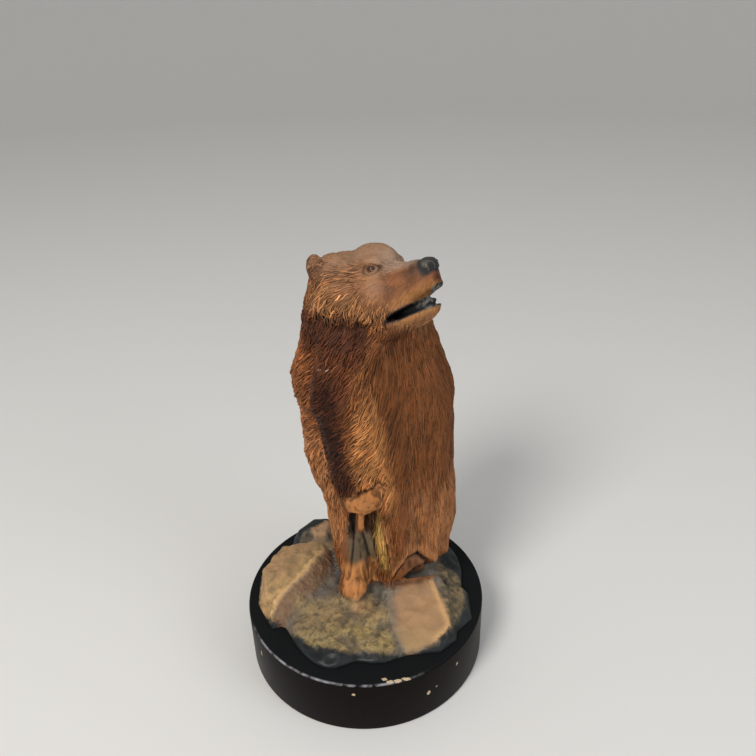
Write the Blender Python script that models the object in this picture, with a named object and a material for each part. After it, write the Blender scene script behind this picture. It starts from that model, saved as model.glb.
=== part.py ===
"""A standing bear cast in resin with the rocks under it, on a round black plinth.

Metres, +Z up, origin at the centre of the plinth's underside. The front of the figure is -Y, and the bear
looks towards +X and a little towards the front.
"""

import math

import bmesh
import bpy
import numpy as np
from mathutils import Matrix, Vector, noise

MM = 0.001

# Plinth
PLINTH_DIAMETER = 114 * MM
PLINTH_HEIGHT = 29 * MM
PLINTH_EDGE_ROUND = 1.0 * MM
PLINTH_SIDES = 72
SEAT_GAP = 0.3 * MM

# Whole figure: its free forms are shares of this height above the plinth
FIGURE_HEIGHT = 174 * MM
DRAWN_HEIGHT = 174.0
SHARE = FIGURE_HEIGHT / DRAWN_HEIGHT

# Rocky ground: it stays inside the plinth's edge, and the rocks spread out with it
GROUND_MARGIN = 7 * MM
GROUND_RISE = 6 * MM
GROUND_BELOW_SEAT = 3 * MM
DRAWN_GROUND_RADIUS = 50.0

# Head
HEAD_CENTRE = (-3.5, 8.0, 160.5)
HEAD_TURN = math.radians(-34)
HEAD_LIFT = math.radians(20)
HEAD_ROLL = math.radians(-15)

# Finish of the solid
VOXEL = 1.15 * MM
CASTING_TRIANGLES = 9000
FLUTE_DEPTH = 0.9 * MM
FLUTE_WIDTH = 6.5 * MM
FLUTE_LENGTH = 34 * MM
FLUTE_LEAN_HEIGHT = 128.0
ROCK_ROUGHNESS = 1.4 * MM

FUR_BROWN = (0.235, 0.098, 0.040, 1.0)
LACQUER_BLACK = (0.012, 0.012, 0.013, 1.0)


def clear_scene():
    for thing in list(bpy.data.objects):
        bpy.data.objects.remove(thing)


def paint(thing, name, colour, roughness):
    material = bpy.data.materials.new(name)
    material.use_nodes = True
    shader = material.node_tree.nodes["Principled BSDF"]
    shader.inputs["Base Color"].default_value = colour
    shader.inputs["Roughness"].default_value = roughness
    shader.inputs["Metallic"].default_value = 0.0
    thing.data.materials.clear()
    thing.data.materials.append(material)


def add_object(name, mesh):
    thing = bpy.data.objects.new(name, mesh)
    bpy.context.scene.collection.objects.link(thing)
    return thing


def settle(thing):
    """Replaces the object's mesh by what its modifiers make of it."""
    bpy.context.view_layer.update()
    graph = bpy.context.evaluated_depsgraph_get()
    finished = bpy.data.meshes.new_from_object(thing.evaluated_get(graph))
    thing.modifiers.clear()
    thing.data = finished
    return finished


def bump(distance, width):
    return math.exp(-((distance / width) ** 2))


def step(value, width):
    """0 well below zero, 1 well above it, and smooth over the width."""
    t = min(1.0, max(0.0, 0.5 + value / (2 * width)))
    return t * t * (3 - 2 * t)


def read_curve(points, at):
    """Reads a smooth curve through (place, value) points with rising places, flat past its ends."""
    if at <= points[0][0]:
        return points[0][1]
    if at >= points[-1][0]:
        return points[-1][1]
    for i in range(len(points) - 1):
        if at <= points[i + 1][0]:
            break
    before = points[max(i - 1, 0)]
    start, end = points[i], points[i + 1]
    after = points[min(i + 2, len(points) - 1)]
    span = end[0] - start[0]
    rise_in = (end[1] - before[1]) / (end[0] - before[0]) * span
    rise_out = (after[1] - start[1]) / (after[0] - start[0]) * span
    t = (at - start[0]) / span
    return (
        (2 * t**3 - 3 * t**2 + 1) * start[1]
        + (t**3 - 2 * t**2 + t) * rise_in
        + (3 * t**2 - 2 * t**3) * end[1]
        + (t**3 - t**2) * rise_out
    )


# The body: its sides at heights above the plinth, in shares of the drawn height
BODY_LEFT = (
    (0, -12.0), (21, -14.1), (48, -16.2), (59, -19.3), (75, -23.4), (93, -23.9),
    (104, -25.0), (115, -27.6), (123, -24.8), (135, -21.6), (149, -19.0), (160, -15.0), (165, -11),
)
BODY_RIGHT = (
    (0, 31.5), (12, 37.0), (21, 40.8), (37, 44.0), (49, 44.6), (67, 43.0), (93, 41.8),
    (108, 42.0), (116, 39.6), (128, 35.8), (142, 29.6), (152, 20), (160, 9), (165, 3),
)
BODY_FRONT = (
    (0, -8.5), (12, -9.5), (30, -12.5), (55, -15.5), (80, -17.5), (115, -18.5), (135, -16.0),
    (149, -11.0), (160, -4), (165, 0),
)
BODY_BACK = (
    (0, 28.0), (30, 33.0), (60, 36.0), (105, 38.0), (130, 35.0), (149, 25.0), (160, 14), (165, 9),
)
BODY_BOTTOM, BODY_TOP = -3.0, 165.0
BODY_ROWS, BODY_COLUMNS = 84, 120
BODY_SQUARENESS = 2.25
CHEST_EDGE = ((78, -88), (92, -92), (110, -97), (124, -100), (133, -91), (140, -77))
HEM_EDGE = ((-95, 8), (-84, 12), (-62, 21), (-45, 24), (-28, 18), (-10, 8))


def body_relief(angle, height):
    """How far the coat stands out at an angle in degrees, -90 at the front, and a height in drawn units."""
    out = 0.0
    # the near shoulder and arm, and the edge where they stand over the chest
    out += 3.2 * bump(angle + 118, 17) * bump(height - 122, 22)
    edge = read_curve(CHEST_EDGE, height)
    over_chest = step(edge - angle, 6.0) * step(angle + 142, 16)
    out += 2.4 * over_chest * step(height - 84, 16) * step(150 - height, 8)
    out -= 1.3 * bump(angle - edge - 12, 9) * step(height - 90, 16) * step(146 - height, 8)
    # the forearm, which ends in the paw
    fore = -103 - 9 * step(112 - height, 28)
    out += 3.4 * bump(angle - fore, 13) * bump(height - 84, 22)
    # the hollow between the arm and the back
    out -= 4.6 * bump(angle + 143, 10) * step(height - 40, 20) * step(146 - height, 14)
    # the chest's broad folds
    out += 1.6 * bump(angle + 48, 16) * step(height - 15, 20) * step(146 - height, 20)
    out -= 1.3 * bump(angle + 70, 8) * step(100 - height, 20)
    out -= 1.5 * bump(angle + 22, 9) * step(height - 20, 20) * step(130 - height, 20)
    # the hollow under the paw and the strands beside it
    out -= 9.0 * bump(angle + 112, 13) * bump(height - 51, 9)
    out += 2.2 * bump(angle + 131, 7) * bump(height - 40, 22)
    out += 2.6 * bump(angle + 84, 8) * bump(height - 48, 24)
    # the coat's hem, which tucks in over the rocks
    hem = read_curve(HEM_EDGE, angle)
    at_hem = step(angle + 92, 8) * step(20 - angle, 20)
    out -= 4.5 * at_hem * step(hem - height, 2.5)
    out += 1.5 * at_hem * bump(height - hem - 4, 6)
    # the back: the hump of the shoulders and a shallow furrow down the spine
    out += 2.5 * bump(angle - 118, 34) * bump(height - 118, 24)
    out -= 1.6 * bump(angle - 84, 12) * step(120 - height, 30)
    out += 1.8 * bump(angle - 60, 24) * bump(height - 40, 30)
    return out


def body_point(angle, height):
    left, right = read_curve(BODY_LEFT, height), read_curve(BODY_RIGHT, height)
    front, back = read_curve(BODY_FRONT, height), read_curve(BODY_BACK, height)
    turn = math.radians(angle)
    along = abs(math.cos(turn)) ** BODY_SQUARENESS + abs(math.sin(turn)) ** BODY_SQUARENESS
    reach = along ** (-1 / BODY_SQUARENESS)
    x = (right - left) / 2 * reach * math.cos(turn)
    y = (back - front) / 2 * reach * math.sin(turn)
    radius = math.hypot(x, y)
    grown = 1 + body_relief(angle, height) / radius
    return Vector(((left + right) / 2 + x * grown, (front + back) / 2 + y * grown, height))


def add_body(mesh):
    rings = []
    for row in range(BODY_ROWS + 1):
        height = BODY_BOTTOM + (BODY_TOP - BODY_BOTTOM) * row / BODY_ROWS
        angles = [360 * column / BODY_COLUMNS - 180 for column in range(BODY_COLUMNS)]
        rings.append([mesh.verts.new(body_point(angle, height)) for angle in angles])
    for lower, upper in zip(rings, rings[1:]):
        for i in range(BODY_COLUMNS):
            k = (i + 1) % BODY_COLUMNS
            mesh.faces.new((lower[i], lower[k], upper[k], upper[i]))
    mesh.faces.new(reversed(rings[0]))
    mesh.faces.new(rings[-1])


def add_mass(mesh, frame, centre, radii, tilt=0.0, turn=0.0):
    """An ellipsoid in a frame: tilt raises its front end and turn swings it, in degrees."""
    placed = (
        frame
        @ Matrix.Translation(centre)
        @ Matrix.Rotation(math.radians(turn), 4, "Z")
        @ Matrix.Rotation(math.radians(-tilt), 4, "Y")
        @ Matrix.Diagonal((*radii, 1.0))
    )
    bmesh.ops.create_uvsphere(mesh, u_segments=32, v_segments=20, radius=1.0, matrix=placed)


def head_frame():
    """Head coordinates: x forward along the muzzle, y to the bear's left, z up."""
    return (
        Matrix.Translation(HEAD_CENTRE)
        @ Matrix.Rotation(HEAD_TURN, 4, "Z")
        @ Matrix.Rotation(-HEAD_LIFT, 4, "Y")
        @ Matrix.Rotation(HEAD_ROLL, 4, "X")
    )


def add_head(mesh):
    frame = head_frame()
    add_mass(mesh, frame, (2, 0, -5.0), (16.8, 15, 12.8))
    add_mass(mesh, frame, (9, 0, -2.6), (12, 11, 10.1), tilt=6)
    add_mass(mesh, frame, (15.6, 0, -1.3), (10.6, 10.5, 10.1), tilt=-8)
    for side in (-1, 1):
        add_mass(mesh, frame, (19.5, 7.4 * side, 0.4), (4.8, 3.4, 3.0), tilt=-10)
        add_mass(mesh, frame, (14, 7.5 * side, -11), (12.5, 7.5, 10))
        add_mass(mesh, frame, (5, 11.3 * side, -11), (12.0, 8.2, 10.0))
        add_mass(mesh, frame, (-2, 8.8 * side, -16), (11.5, 8.8, 10))
        add_ear(mesh, frame, side)
        add_eye(mesh, frame, side)
    add_muzzle(mesh, frame)
    add_jaw(mesh, frame)
    add_throat(mesh)


def add_ear(mesh, frame, side):
    """The far ear lies flatter than the near one, so it stays behind the crown."""
    lift = 0.0 if side < 0 else -5.8
    add_mass(mesh, frame, (-1.8, 14.4 * side, 3.3 + lift), (3.0, 3.9, 4.6), tilt=-6, turn=-20 * side)
    add_mass(mesh, frame, (0.0, 11.5 * side, 0.2 + lift), (6, 5.0, 4.8))


def add_eye(mesh, frame, side):
    add_mass(mesh, frame, (21.0, 7.9 * side, -1.9), (2.6, 2.0, 2.0))


def add_muzzle(mesh, frame):
    add_mass(mesh, frame, (25.5, 0, -9.0), (12.0, 8.8, 8.6))
    add_mass(mesh, frame, (33.5, 0, -7.0), (8.6, 6.4, 5.9), tilt=3)
    add_mass(mesh, frame, (39.3, 0, -4.3), (3.6, 4.4, 3.3), tilt=12)
    add_mass(mesh, frame, (39.4, 0, -7.4), (3.5, 4.4, 3.6), tilt=-10)
    add_mass(mesh, frame, (39.3, 0, -10.4), (3.9, 4.8, 2.6), tilt=20)
    add_mass(mesh, frame, (41.4, 0, -11.6), (2.8, 3.2, 1.7), tilt=24)
    for side in (-1, 1):
        add_mass(mesh, frame, (26.0, 5.2 * side, -14.5), (9.5, 4.2, 5.4), tilt=20, turn=-5 * side)
        add_mass(mesh, frame, (35.0, 3.4 * side, -11.6), (7.4, 3.4, 3.0), tilt=21, turn=-9 * side)


def add_jaw(mesh, frame):
    add_mass(mesh, frame, (18, 0, -22.5), (13, 8.5, 6.5), tilt=8)
    add_mass(mesh, frame, (30.5, 0, -21.0), (11.0, 6.4, 4.0), tilt=13)
    add_mass(mesh, frame, (37.9, 0, -18.3), (4.2, 4.7, 2.6), tilt=24)


def add_throat(mesh):
    """The thick coat from the chin down to the chest."""
    plain = Matrix.Identity(4)
    add_mass(mesh, plain, (17.5, -5.5, 143), (12.5, 10.5, 14))
    add_mass(mesh, plain, (21, -4, 134), (11, 10.5, 14))
    add_mass(mesh, plain, (6, -5, 142), (12, 10, 13))


def add_paw(mesh):
    """The near paw, which hangs over the hollow at the front, and the foot below it."""
    plain = Matrix.Identity(4)
    add_mass(mesh, plain, (-0.5, -14.5, 66), (8.0, 6.5, 7.5))
    add_mass(mesh, plain, (-1.6, -17.0, 56), (2.4, 2.4, 7.0))
    add_mass(mesh, plain, (-4.6, -7.5, 22), (6.4, 7.2, 20))
    add_mass(mesh, plain, (-5.6, -11.5, 13), (6.2, 6.6, 9.5), tilt=0)


def ground_spread():
    """How much wider the ground is than drawn."""
    return (PLINTH_DIAMETER / 2 - GROUND_MARGIN) / (DRAWN_GROUND_RADIUS * SHARE)


def ground_edge(angle):
    """The wavy outline of the ground, as a share of its radius. The angle is in degrees, -90 in front."""
    wave = 0.05 * math.sin(math.radians(3 * angle + 40)) + 0.03 * math.sin(math.radians(5 * angle - 70))
    return 0.955 + wave - 0.10 * bump(angle + 97, 9) + 0.06 * bump(angle - 118, 26)


def ground_height(x, y, share):
    """Height of the ground at a place, where share runs from 0 in the middle to 1 at its edge."""
    rise = GROUND_RISE / SHARE * (1 - share**3.2)
    lumps = 1.1 * noise.noise(Vector((x / 11, y / 11, 0.7))) + 0.6 * noise.noise(Vector((x / 5, y / 5, 4.1)))
    return 1.6 + rise + lumps * (1 - share**4)


def add_ground(mesh):
    rings_out, columns = 16, 96
    top = []
    for ring in range(rings_out + 1):
        share = ring / rings_out
        loop = []
        for column in range(columns):
            angle = 360 * column / columns - 180
            reach = DRAWN_GROUND_RADIUS * ground_spread() * ground_edge(angle) * share
            x, y = reach * math.cos(math.radians(angle)), reach * math.sin(math.radians(angle))
            loop.append((x, y, ground_height(x, y, share)))
        top.append(loop)
    centre = mesh.verts.new(top[0][0])
    loops = [[mesh.verts.new(p) for p in loop] for loop in top[1:]]
    below = -GROUND_BELOW_SEAT / SHARE
    loops.append([mesh.verts.new((x, y, below)) for x, y, _ in top[-1]])
    for i in range(columns):
        k = (i + 1) % columns
        mesh.faces.new((centre, loops[0][i], loops[0][k]))
        for inner, outer in zip(loops, loops[1:]):
            mesh.faces.new((inner[i], outer[i], outer[k], inner[k]))
    mesh.faces.new(reversed(loops[-1]))


# Corners of the rocks, in drawn units from the plinth's top, each seen from above round its outline
ROCKS = (
    # the slab in front on the bear's left
    ((10, -9, 13.5), (34, -8, 14.5), (38, -14, 12.5), (36.5, -33, 7.0), (32, -42, 2.0), (9, -43, 2.0),
     (5, -26, 7.5), (6, -15, 11.5), (44, -16, 2.0), (40, -36, 1.0)),
    # the boulder on the near side, with its flat top and the ridge along it
    ((-45, -12, 8.0), (-47, 6, 10.0), (-40, 19, 12.0), (-24, 21, 13.0), (-18, 12, 12.5), (-24, 3, 13.5),
     (-34, -10, 12.0), (-38, -19, 7.0), (-50, -8, 0.5), (-50, 8, 0.5), (-42, 26, 1.0), (-14, 20, 6.0),
     (-14, -2, 5.0), (-28, -19, 4.0), (-42, -24, 0.5)),
    # the low mossy rock on the far side
    ((40, -4, 6.5), (46, -10, 6.0), (46, -20, 5.0), (41, -26, 4.0), (36, -16, 7.0), (50, -8, 0.0),
     (49, -24, 0.0), (36, 0, 2.0), (40, -32, 0.0)),
    # two smaller rocks at the back
    ((-34, 34, 9.0), (-26, 42, 9.5), (-18, 40, 10.5), (-20, 30, 9.0), (-38, 36, 0.0), (-26, 48, 0.0),
     (-10, 46, 0.0), (-14, 28, 1.0), (-32, 28, 1.0)),
    ((18, 34, 9.0), (30, 32, 8.5), (34, 24, 7.5), (24, 24, 9.0), (16, 46, 0.0), (36, 38, 0.0),
     (42, 22, 0.0), (20, 20, 1.0)),
)


def add_rocks(mesh):
    spread = ground_spread()
    below = -GROUND_BELOW_SEAT / SHARE
    for corners in ROCKS:
        placed = [(x * spread, y * spread, z) for x, y, z in corners]
        points = [mesh.verts.new(corner) for corner in placed]
        points += [mesh.verts.new((x, y, below)) for x, y, z in placed if z < 3]
        made = bmesh.ops.convex_hull(mesh, input=points)
        inside = [v for v in made["geom_interior"] if isinstance(v, bmesh.types.BMVert)]
        unused = [v for v in made["geom_unused"] if isinstance(v, bmesh.types.BMVert)]
        bmesh.ops.delete(mesh, geom=list(set(inside + unused)), context="VERTS")


def cut_mouth(casting):
    """Cuts the open mouth from the side of the muzzle, with the tongue left standing in the middle."""
    frame = head_frame()
    cutter = bmesh.new()
    hinge, tip, half_width = (22.0, -21.2), (46.0, -15.0), 12.0
    gape_in, gape_out = 1.0, 2.1
    outline = (
        (hinge[0], hinge[1] - gape_in), (tip[0], tip[1] - gape_out),
        (tip[0], tip[1] + gape_out), (hinge[0], hinge[1] + gape_in),
    )
    sides = [[cutter.verts.new((x, y, z)) for x, z in outline] for y in (-half_width, half_width)]
    cutter.faces.new(sides[0])
    cutter.faces.new(reversed(sides[1]))
    for i in range(4):
        k = (i + 1) % 4
        cutter.faces.new((sides[0][k], sides[0][i], sides[1][i], sides[1][k]))
    bmesh.ops.recalc_face_normals(cutter, faces=cutter.faces)
    shape = finish_mesh(cutter, "mouth_cutter", frame)
    tool = add_object("mouth_cutter", shape)
    tool.hide_render = True
    tool.display_type = "WIRE"
    cut = casting.modifiers.new("Mouth", "BOOLEAN")
    cut.operation = "DIFFERENCE"
    cut.object = tool
    settle(casting)
    bpy.data.objects.remove(tool)


def tongue_mesh():
    mass = bmesh.new()
    add_mass(mass, head_frame(), (29.0, 0, -19.9), (9.0, 3.3, 2.1), tilt=14)
    return finish_mesh(mass, "tongue", Matrix.Identity(4))


def to_model():
    """Drawn units above the plinth's top, to metres above the table."""
    seat = PLINTH_HEIGHT + SEAT_GAP
    return Matrix.Translation((0, 0, seat)) @ Matrix.Scale(SHARE, 4)


def finish_mesh(shape, name, frame):
    mesh = bpy.data.meshes.new(name)
    bmesh.ops.transform(shape, matrix=to_model() @ frame, verts=shape.verts)
    shape.to_mesh(mesh)
    shape.free()
    return mesh


def blend(casting, voxel, softening):
    remesh = casting.modifiers.new("Blend", "REMESH")
    remesh.mode = "VOXEL"
    remesh.voxel_size = voxel
    settle(casting)
    if softening:
        soften = casting.modifiers.new("Soften", "SMOOTH")
        soften.factor = 0.5
        soften.iterations = softening
        settle(casting)


def carve_coat(mesh):
    """Cuts the long locks of the coat into the surface, along the way the hair lies."""
    to_drawn = to_model().inverted()
    to_head = (to_model() @ head_frame()).inverted()
    across, along = FLUTE_WIDTH / SHARE, FLUTE_LENGTH / SHARE
    normals = [v.normal.copy() for v in mesh.vertices]
    for vertex, normal in zip(mesh.vertices, normals):
        p = to_drawn @ vertex.co
        if p.z < 8:
            continue
        h = to_head @ vertex.co
        bare_face = step(h.x - 12, 7) * step(h.z + 22, 3) * step(p.z - 128, 6)
        sway = 3.5 * noise.noise(Vector((p.x / 24, p.y / 24, p.z / 34)))
        lean = 0.28 * step(2 - p.x, 14) * step(20 - p.y, 10)
        leaning = lean * (p.z - FLUTE_LEAN_HEIGHT)
        place = Vector(((p.x - leaning + sway) / across, (p.y + sway) / across, p.z / along))
        ridge = max(-0.7, 1 - 4.2 * abs(noise.noise(place)))
        lock = max(-0.7, 1 - 4.2 * abs(noise.noise(place * 1.5 + Vector((9, 4, 2)))))
        cover = (1 - bare_face) * (1 - 0.5 * step(p.z - 152, 6)) * step(p.z - 12 - 6 * step(-p.y - 4, 4), 5)
        vertex.co += normal * FLUTE_DEPTH * cover * (0.65 * ridge + 0.55 * lock - 0.2)


def carve_ground(mesh):
    """Roughens the rocks and the ground with broad facets and pits."""
    to_drawn = to_model().inverted()
    normals = [v.normal.copy() for v in mesh.vertices]
    for vertex, normal in zip(mesh.vertices, normals):
        p = to_drawn @ vertex.co
        cover = step(16 - p.z, 3) * step(p.z - 2.2, 1.2)
        if cover <= 0 or p.x**2 + (p.y - 8) ** 2 < 15**2:
            continue
        broad = noise.noise(Vector((p.x / 9, p.y / 9, p.z / 5)))
        creased = abs(noise.noise(Vector((p.x / 5 + 7, p.y / 5, p.z / 4))))
        vertex.co += normal * ROCK_ROUGHNESS * cover * (1.0 * broad - 1.2 * creased + 0.2)


def level_seat(casting):
    """Cuts the underside flat where it sits on the plinth, and closes it."""
    seat = PLINTH_HEIGHT + SEAT_GAP
    shape = bmesh.new()
    shape.from_mesh(casting.data)
    everything = shape.verts[:] + shape.edges[:] + shape.faces[:]
    bmesh.ops.bisect_plane(
        shape, geom=everything, plane_co=(0, 0, seat), plane_no=(0, 0, -1), clear_outer=True
    )
    rim = [edge for edge in shape.edges if edge.is_boundary]
    bmesh.ops.contextual_create(shape, geom=rim)
    bmesh.ops.triangulate(shape, faces=shape.faces[:])
    bmesh.ops.recalc_face_normals(shape, faces=shape.faces[:])
    shape.to_mesh(casting.data)
    shape.free()


def thin_out(casting):
    """Keeps the faces where the shape turns, and drops them where it is plain."""
    faces = sum(len(p.vertices) - 2 for p in casting.data.polygons)
    fewer = casting.modifiers.new("Thin out", "DECIMATE")
    fewer.ratio = min(1.0, CASTING_TRIANGLES / faces)
    settle(casting)


def build_casting():
    shape = bmesh.new()
    add_body(shape)
    add_head(shape)
    add_paw(shape)
    add_ground(shape)
    add_rocks(shape)
    casting = add_object("bear_casting", finish_mesh(shape, "bear_casting", Matrix.Identity(4)))
    blend(casting, VOXEL, 3)
    cut_mouth(casting)
    joined = bmesh.new()
    joined.from_mesh(casting.data)
    joined.from_mesh(tongue_mesh())
    joined.to_mesh(casting.data)
    joined.free()
    blend(casting, VOXEL, 1)
    carve_coat(casting.data)
    carve_ground(casting.data)
    thin_out(casting)
    level_seat(casting)
    casting.data.shade_smooth()
    casting.data.set_sharp_from_angle(angle=math.radians(50))
    paint(casting, "painted resin", FUR_BROWN, 0.7)
    return casting


def build_plinth():
    shape = bmesh.new()
    bmesh.ops.create_cone(
        shape, cap_ends=True, segments=PLINTH_SIDES,
        radius1=PLINTH_DIAMETER / 2, radius2=PLINTH_DIAMETER / 2, depth=PLINTH_HEIGHT,
        matrix=Matrix.Translation((0, 0, PLINTH_HEIGHT / 2)),
    )
    mesh = bpy.data.meshes.new("plinth")
    shape.to_mesh(mesh)
    shape.free()
    plinth = add_object("plinth", mesh)
    edge = plinth.modifiers.new("Edge", "BEVEL")
    edge.width = PLINTH_EDGE_ROUND
    edge.segments = 2
    edge.limit_method = "ANGLE"
    edge.angle_limit = math.radians(50)
    mesh.shade_smooth()
    mesh.set_sharp_from_angle(angle=math.radians(30))
    paint(plinth, "black lacquer", LACQUER_BLACK, 0.3)
    return plinth


def main():
    clear_scene()
    build_plinth()
    build_casting()


main()
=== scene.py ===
"""Looks of a bear cast in painted resin, standing on mossy rocks over a round black plinth.

Blender's own lengths are metres with +Z up, and the origin is at the centre of the plinth's underside. The
casting's forms, regions and colours are laid out below in millimetres, and MM turns those into metres. The
front of the figure is -Y, and the bear looks towards +X and a little towards the front. Head coordinates
have x forward along the muzzle, y to the bear's left and z up.
"""

import math
from itertools import product

import bpy
import numpy as np
from mathutils import Matrix, Vector
from mathutils.bvhtree import BVHTree


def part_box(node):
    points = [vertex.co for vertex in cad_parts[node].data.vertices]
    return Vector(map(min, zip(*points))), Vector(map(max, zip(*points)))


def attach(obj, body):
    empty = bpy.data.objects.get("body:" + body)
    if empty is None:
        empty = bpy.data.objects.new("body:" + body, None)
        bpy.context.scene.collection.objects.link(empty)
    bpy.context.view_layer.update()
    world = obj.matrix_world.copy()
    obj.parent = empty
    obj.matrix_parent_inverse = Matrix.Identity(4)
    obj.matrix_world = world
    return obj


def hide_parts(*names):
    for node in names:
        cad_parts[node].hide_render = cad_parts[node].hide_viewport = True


bl_info = {
    "name": "Resin bear on a plinth",
    "version": (1, 0, 0),
    "blender": (4, 5, 0),
    "location": "View3D > Sidebar > Bear",
    "description": "Dresses the packed bear figurine with its carved coat, painted rocks and black plinth",
    "category": "Object",
}

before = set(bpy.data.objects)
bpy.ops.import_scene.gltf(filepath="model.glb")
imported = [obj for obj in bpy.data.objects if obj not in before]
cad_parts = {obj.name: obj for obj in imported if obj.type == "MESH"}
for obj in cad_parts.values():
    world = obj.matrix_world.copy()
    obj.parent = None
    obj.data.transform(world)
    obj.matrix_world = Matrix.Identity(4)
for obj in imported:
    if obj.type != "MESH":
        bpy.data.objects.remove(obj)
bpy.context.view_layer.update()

MM = 0.001
BODY = "root"
CASTING_NODE, CASTING_SLOT = "bear_casting", "bear_casting"
PLINTH_NODE, PLINTH_SLOT = "plinth", "plinth"

# Where the head sits on the casting
SEAT = 29.3
HEAD_CENTRE = (-3.5, 8.0, SEAT + 160.5)
HEAD_TURN = math.radians(-34)
HEAD_LIFT = math.radians(20)
HEAD_ROLL = math.radians(-15)

# Rounded masses of the head, in head coordinates: centre, radii, tilt and turn in degrees
HEAD_MASSES = (
    ((2, 0, -5.0), (16.8, 15, 12.8), 0, 0),
    ((9, 0, -2.6), (12, 11, 10.1), 6, 0),
    ((15.6, 0, -1.3), (10.6, 10.5, 10.1), -8, 0),
    ((25.5, 0, -9.0), (12.0, 8.8, 8.6), 0, 0),
    ((33.5, 0, -7.0), (8.6, 6.4, 5.9), 3, 0),
    ((39.3, 0, -4.3), (3.6, 4.4, 3.3), 12, 0),
    ((39.4, 0, -7.4), (3.5, 4.4, 3.6), -10, 0),
    ((39.3, 0, -10.4), (3.9, 4.8, 2.6), 20, 0),
    ((41.4, 0, -11.6), (2.8, 3.2, 1.7), 24, 0),
    ((18, 0, -22.5), (13, 8.5, 6.5), 8, 0),
    ((30.5, 0, -21.0), (11.0, 6.4, 4.0), 13, 0),
    ((37.9, 0, -18.3), (4.2, 4.7, 2.6), 24, 0),
)
# The same, with one on either side
PAIRED_MASSES = (
    ((19.5, 7.4, 0.4), (4.8, 3.4, 3.0), -10, 0),
    ((14, 7.5, -11), (12.5, 7.5, 10), 0, 0),
    ((5, 11.3, -11), (12.0, 8.2, 10.0), 0, 0),
    ((-2, 8.8, -16), (11.5, 8.8, 10), 0, 0),
    ((26.0, 5.2, -14.5), (9.5, 4.2, 5.4), 20, -5),
    ((35.0, 3.4, -11.6), (7.4, 3.4, 3.0), 21, -9),
)
NOSE_MASSES = (
    ((39.3, 0, -4.2), (3.65, 4.4, 3.4), 12, 0),
    ((40.9, 2.1, -4.1), (1.9, 2.1, 2.4), 10, 20),
    ((40.9, -2.1, -4.1), (1.9, 2.1, 2.4), 10, -20),
    ((40.5, 0, -2.6), (2.0, 3.2, 1.6), 10, 0),
    ((40.8, 0, -7.4), (1.8, 1.7, 2.4), 6, 0),
)
# The ears: an upright shell, its root and the rise to the crown, and how much lower the far ear lies
EAR_MASSES = (
    ((-1.8, 14.4, 3.3), (3.0, 3.9, 4.6), -6, -20),
    ((0.0, 11.5, 0.2), (6, 5.0, 4.8), 0, 0),
    ((2.0, 8.5, 2.6), (6.0, 5.0, 5.0), 0, 0),
)
FAR_EAR_DROP = 5.8
# The near paw with the tab of coat below it, the foot's long bone and the toe, in millimetres
PAW_MASSES = (
    ((-0.5, -14.5, SEAT + 66), (8.0, 6.5, 7.5)),
    ((-1.6, -17.0, SEAT + 56), (2.4, 2.4, 7.0)),
    ((-4.6, -7.5, SEAT + 22), (6.4, 7.2, 20)),
    ((-5.6, -11.5, SEAT + 13), (6.2, 6.6, 9.5)),
)
TONGUE = ((30.6, 0, -19.0), (10.4, 3.3, 2.1), 15, 0)
MUZZLE_TIP = (44, 0, -6)
MOUTH_HINGE, MOUTH_TIP = (22.0, -21.2), (46.0, -15.0)
MOUTH_GAPE_IN, MOUTH_GAPE_OUT, MOUTH_HALF_WIDTH = 1.0, 2.1, 12.0
LIP_BEND, LIP_TIP = (37.5, -15.5), (46.0, -9.5)

EYE = (20.9, 8.3, -1.5)
EYE_RADIUS, EYE_DEPTH = 1.60, 0.30
EYE_BREADTH, EYE_OPENING = 1.30, 0.80

# Corners of the rocks, in millimetres: the slab, the boulder, the mossy rock and two at the back
ROCKS = (
    ((10, -9, 42.6), (34, -8, 43.6), (38, -14, 41.6), (36.8, -33, 36.2), (32, -42, 31.0), (9, -43, 31.0),
     (5, -26, 36.6), (6, -15, 40.6), (44, -16, 31.0), (40, -36, 30.0)),
    ((-47, -12, 37.8), (-49.5, 6, 39.6), (-41, 19, 41.4), (-24, 21, 42.4), (-18, 12, 41.9),
     (-24, 3, 43.2), (-34, -10, 41.6), (-39, -19, 36.8), (-52, -8, 29.6), (-52.5, 8, 29.6),
     (-44, 26, 30.0), (-14, 20, 35.0), (-14, -2, 34.0), (-28, -19, 33.2), (-44, -24, 29.6)),
    ((40, -4, 36.0), (46, -10, 35.6), (46, -20, 34.6), (41, -26, 33.6), (36, -16, 36.6), (50, -8, 29.5),
     (49, -24, 29.5), (36, 0, 31.5), (40, -32, 29.5)),
    ((-34, 34, 38.6), (-26, 42, 39.1), (-18, 40, 40.1), (-20, 30, 38.6), (-38, 36, 29.5), (-26, 48, 29.5),
     (-10, 46, 29.5), (-14, 28, 30.5), (-32, 28, 30.5)),
    ((18, 34, 38.6), (30, 32, 38.1), (34, 24, 37.1), (24, 24, 38.6), (16, 46, 29.5), (36, 38, 29.5),
     (42, 22, 29.5), (20, 20, 30.5)),
)

# Finish of the figure's own mesh
COARSE_VOXEL = 0.6
FINE_VOXEL = 0.46
NOSE_VOXEL = 0.2
FIGURE_TRIANGLES = 190000


def length_setting(name, description, default, low, high):
    """A setting for a length, given in millimetres."""
    return bpy.props.FloatProperty(
        name=name, description=description, default=default * MM, min=low * MM, max=high * MM,
        subtype="DISTANCE", unit="LENGTH",
    )


def count_setting(name, description, default):
    return bpy.props.IntProperty(name=name, description=description, default=default, min=100, max=6600)


def number_setting(name, description, default, high=1.0, **kind):
    return bpy.props.FloatProperty(
        name=name, description=description, default=default, min=0, max=high, **kind,
    )


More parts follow.
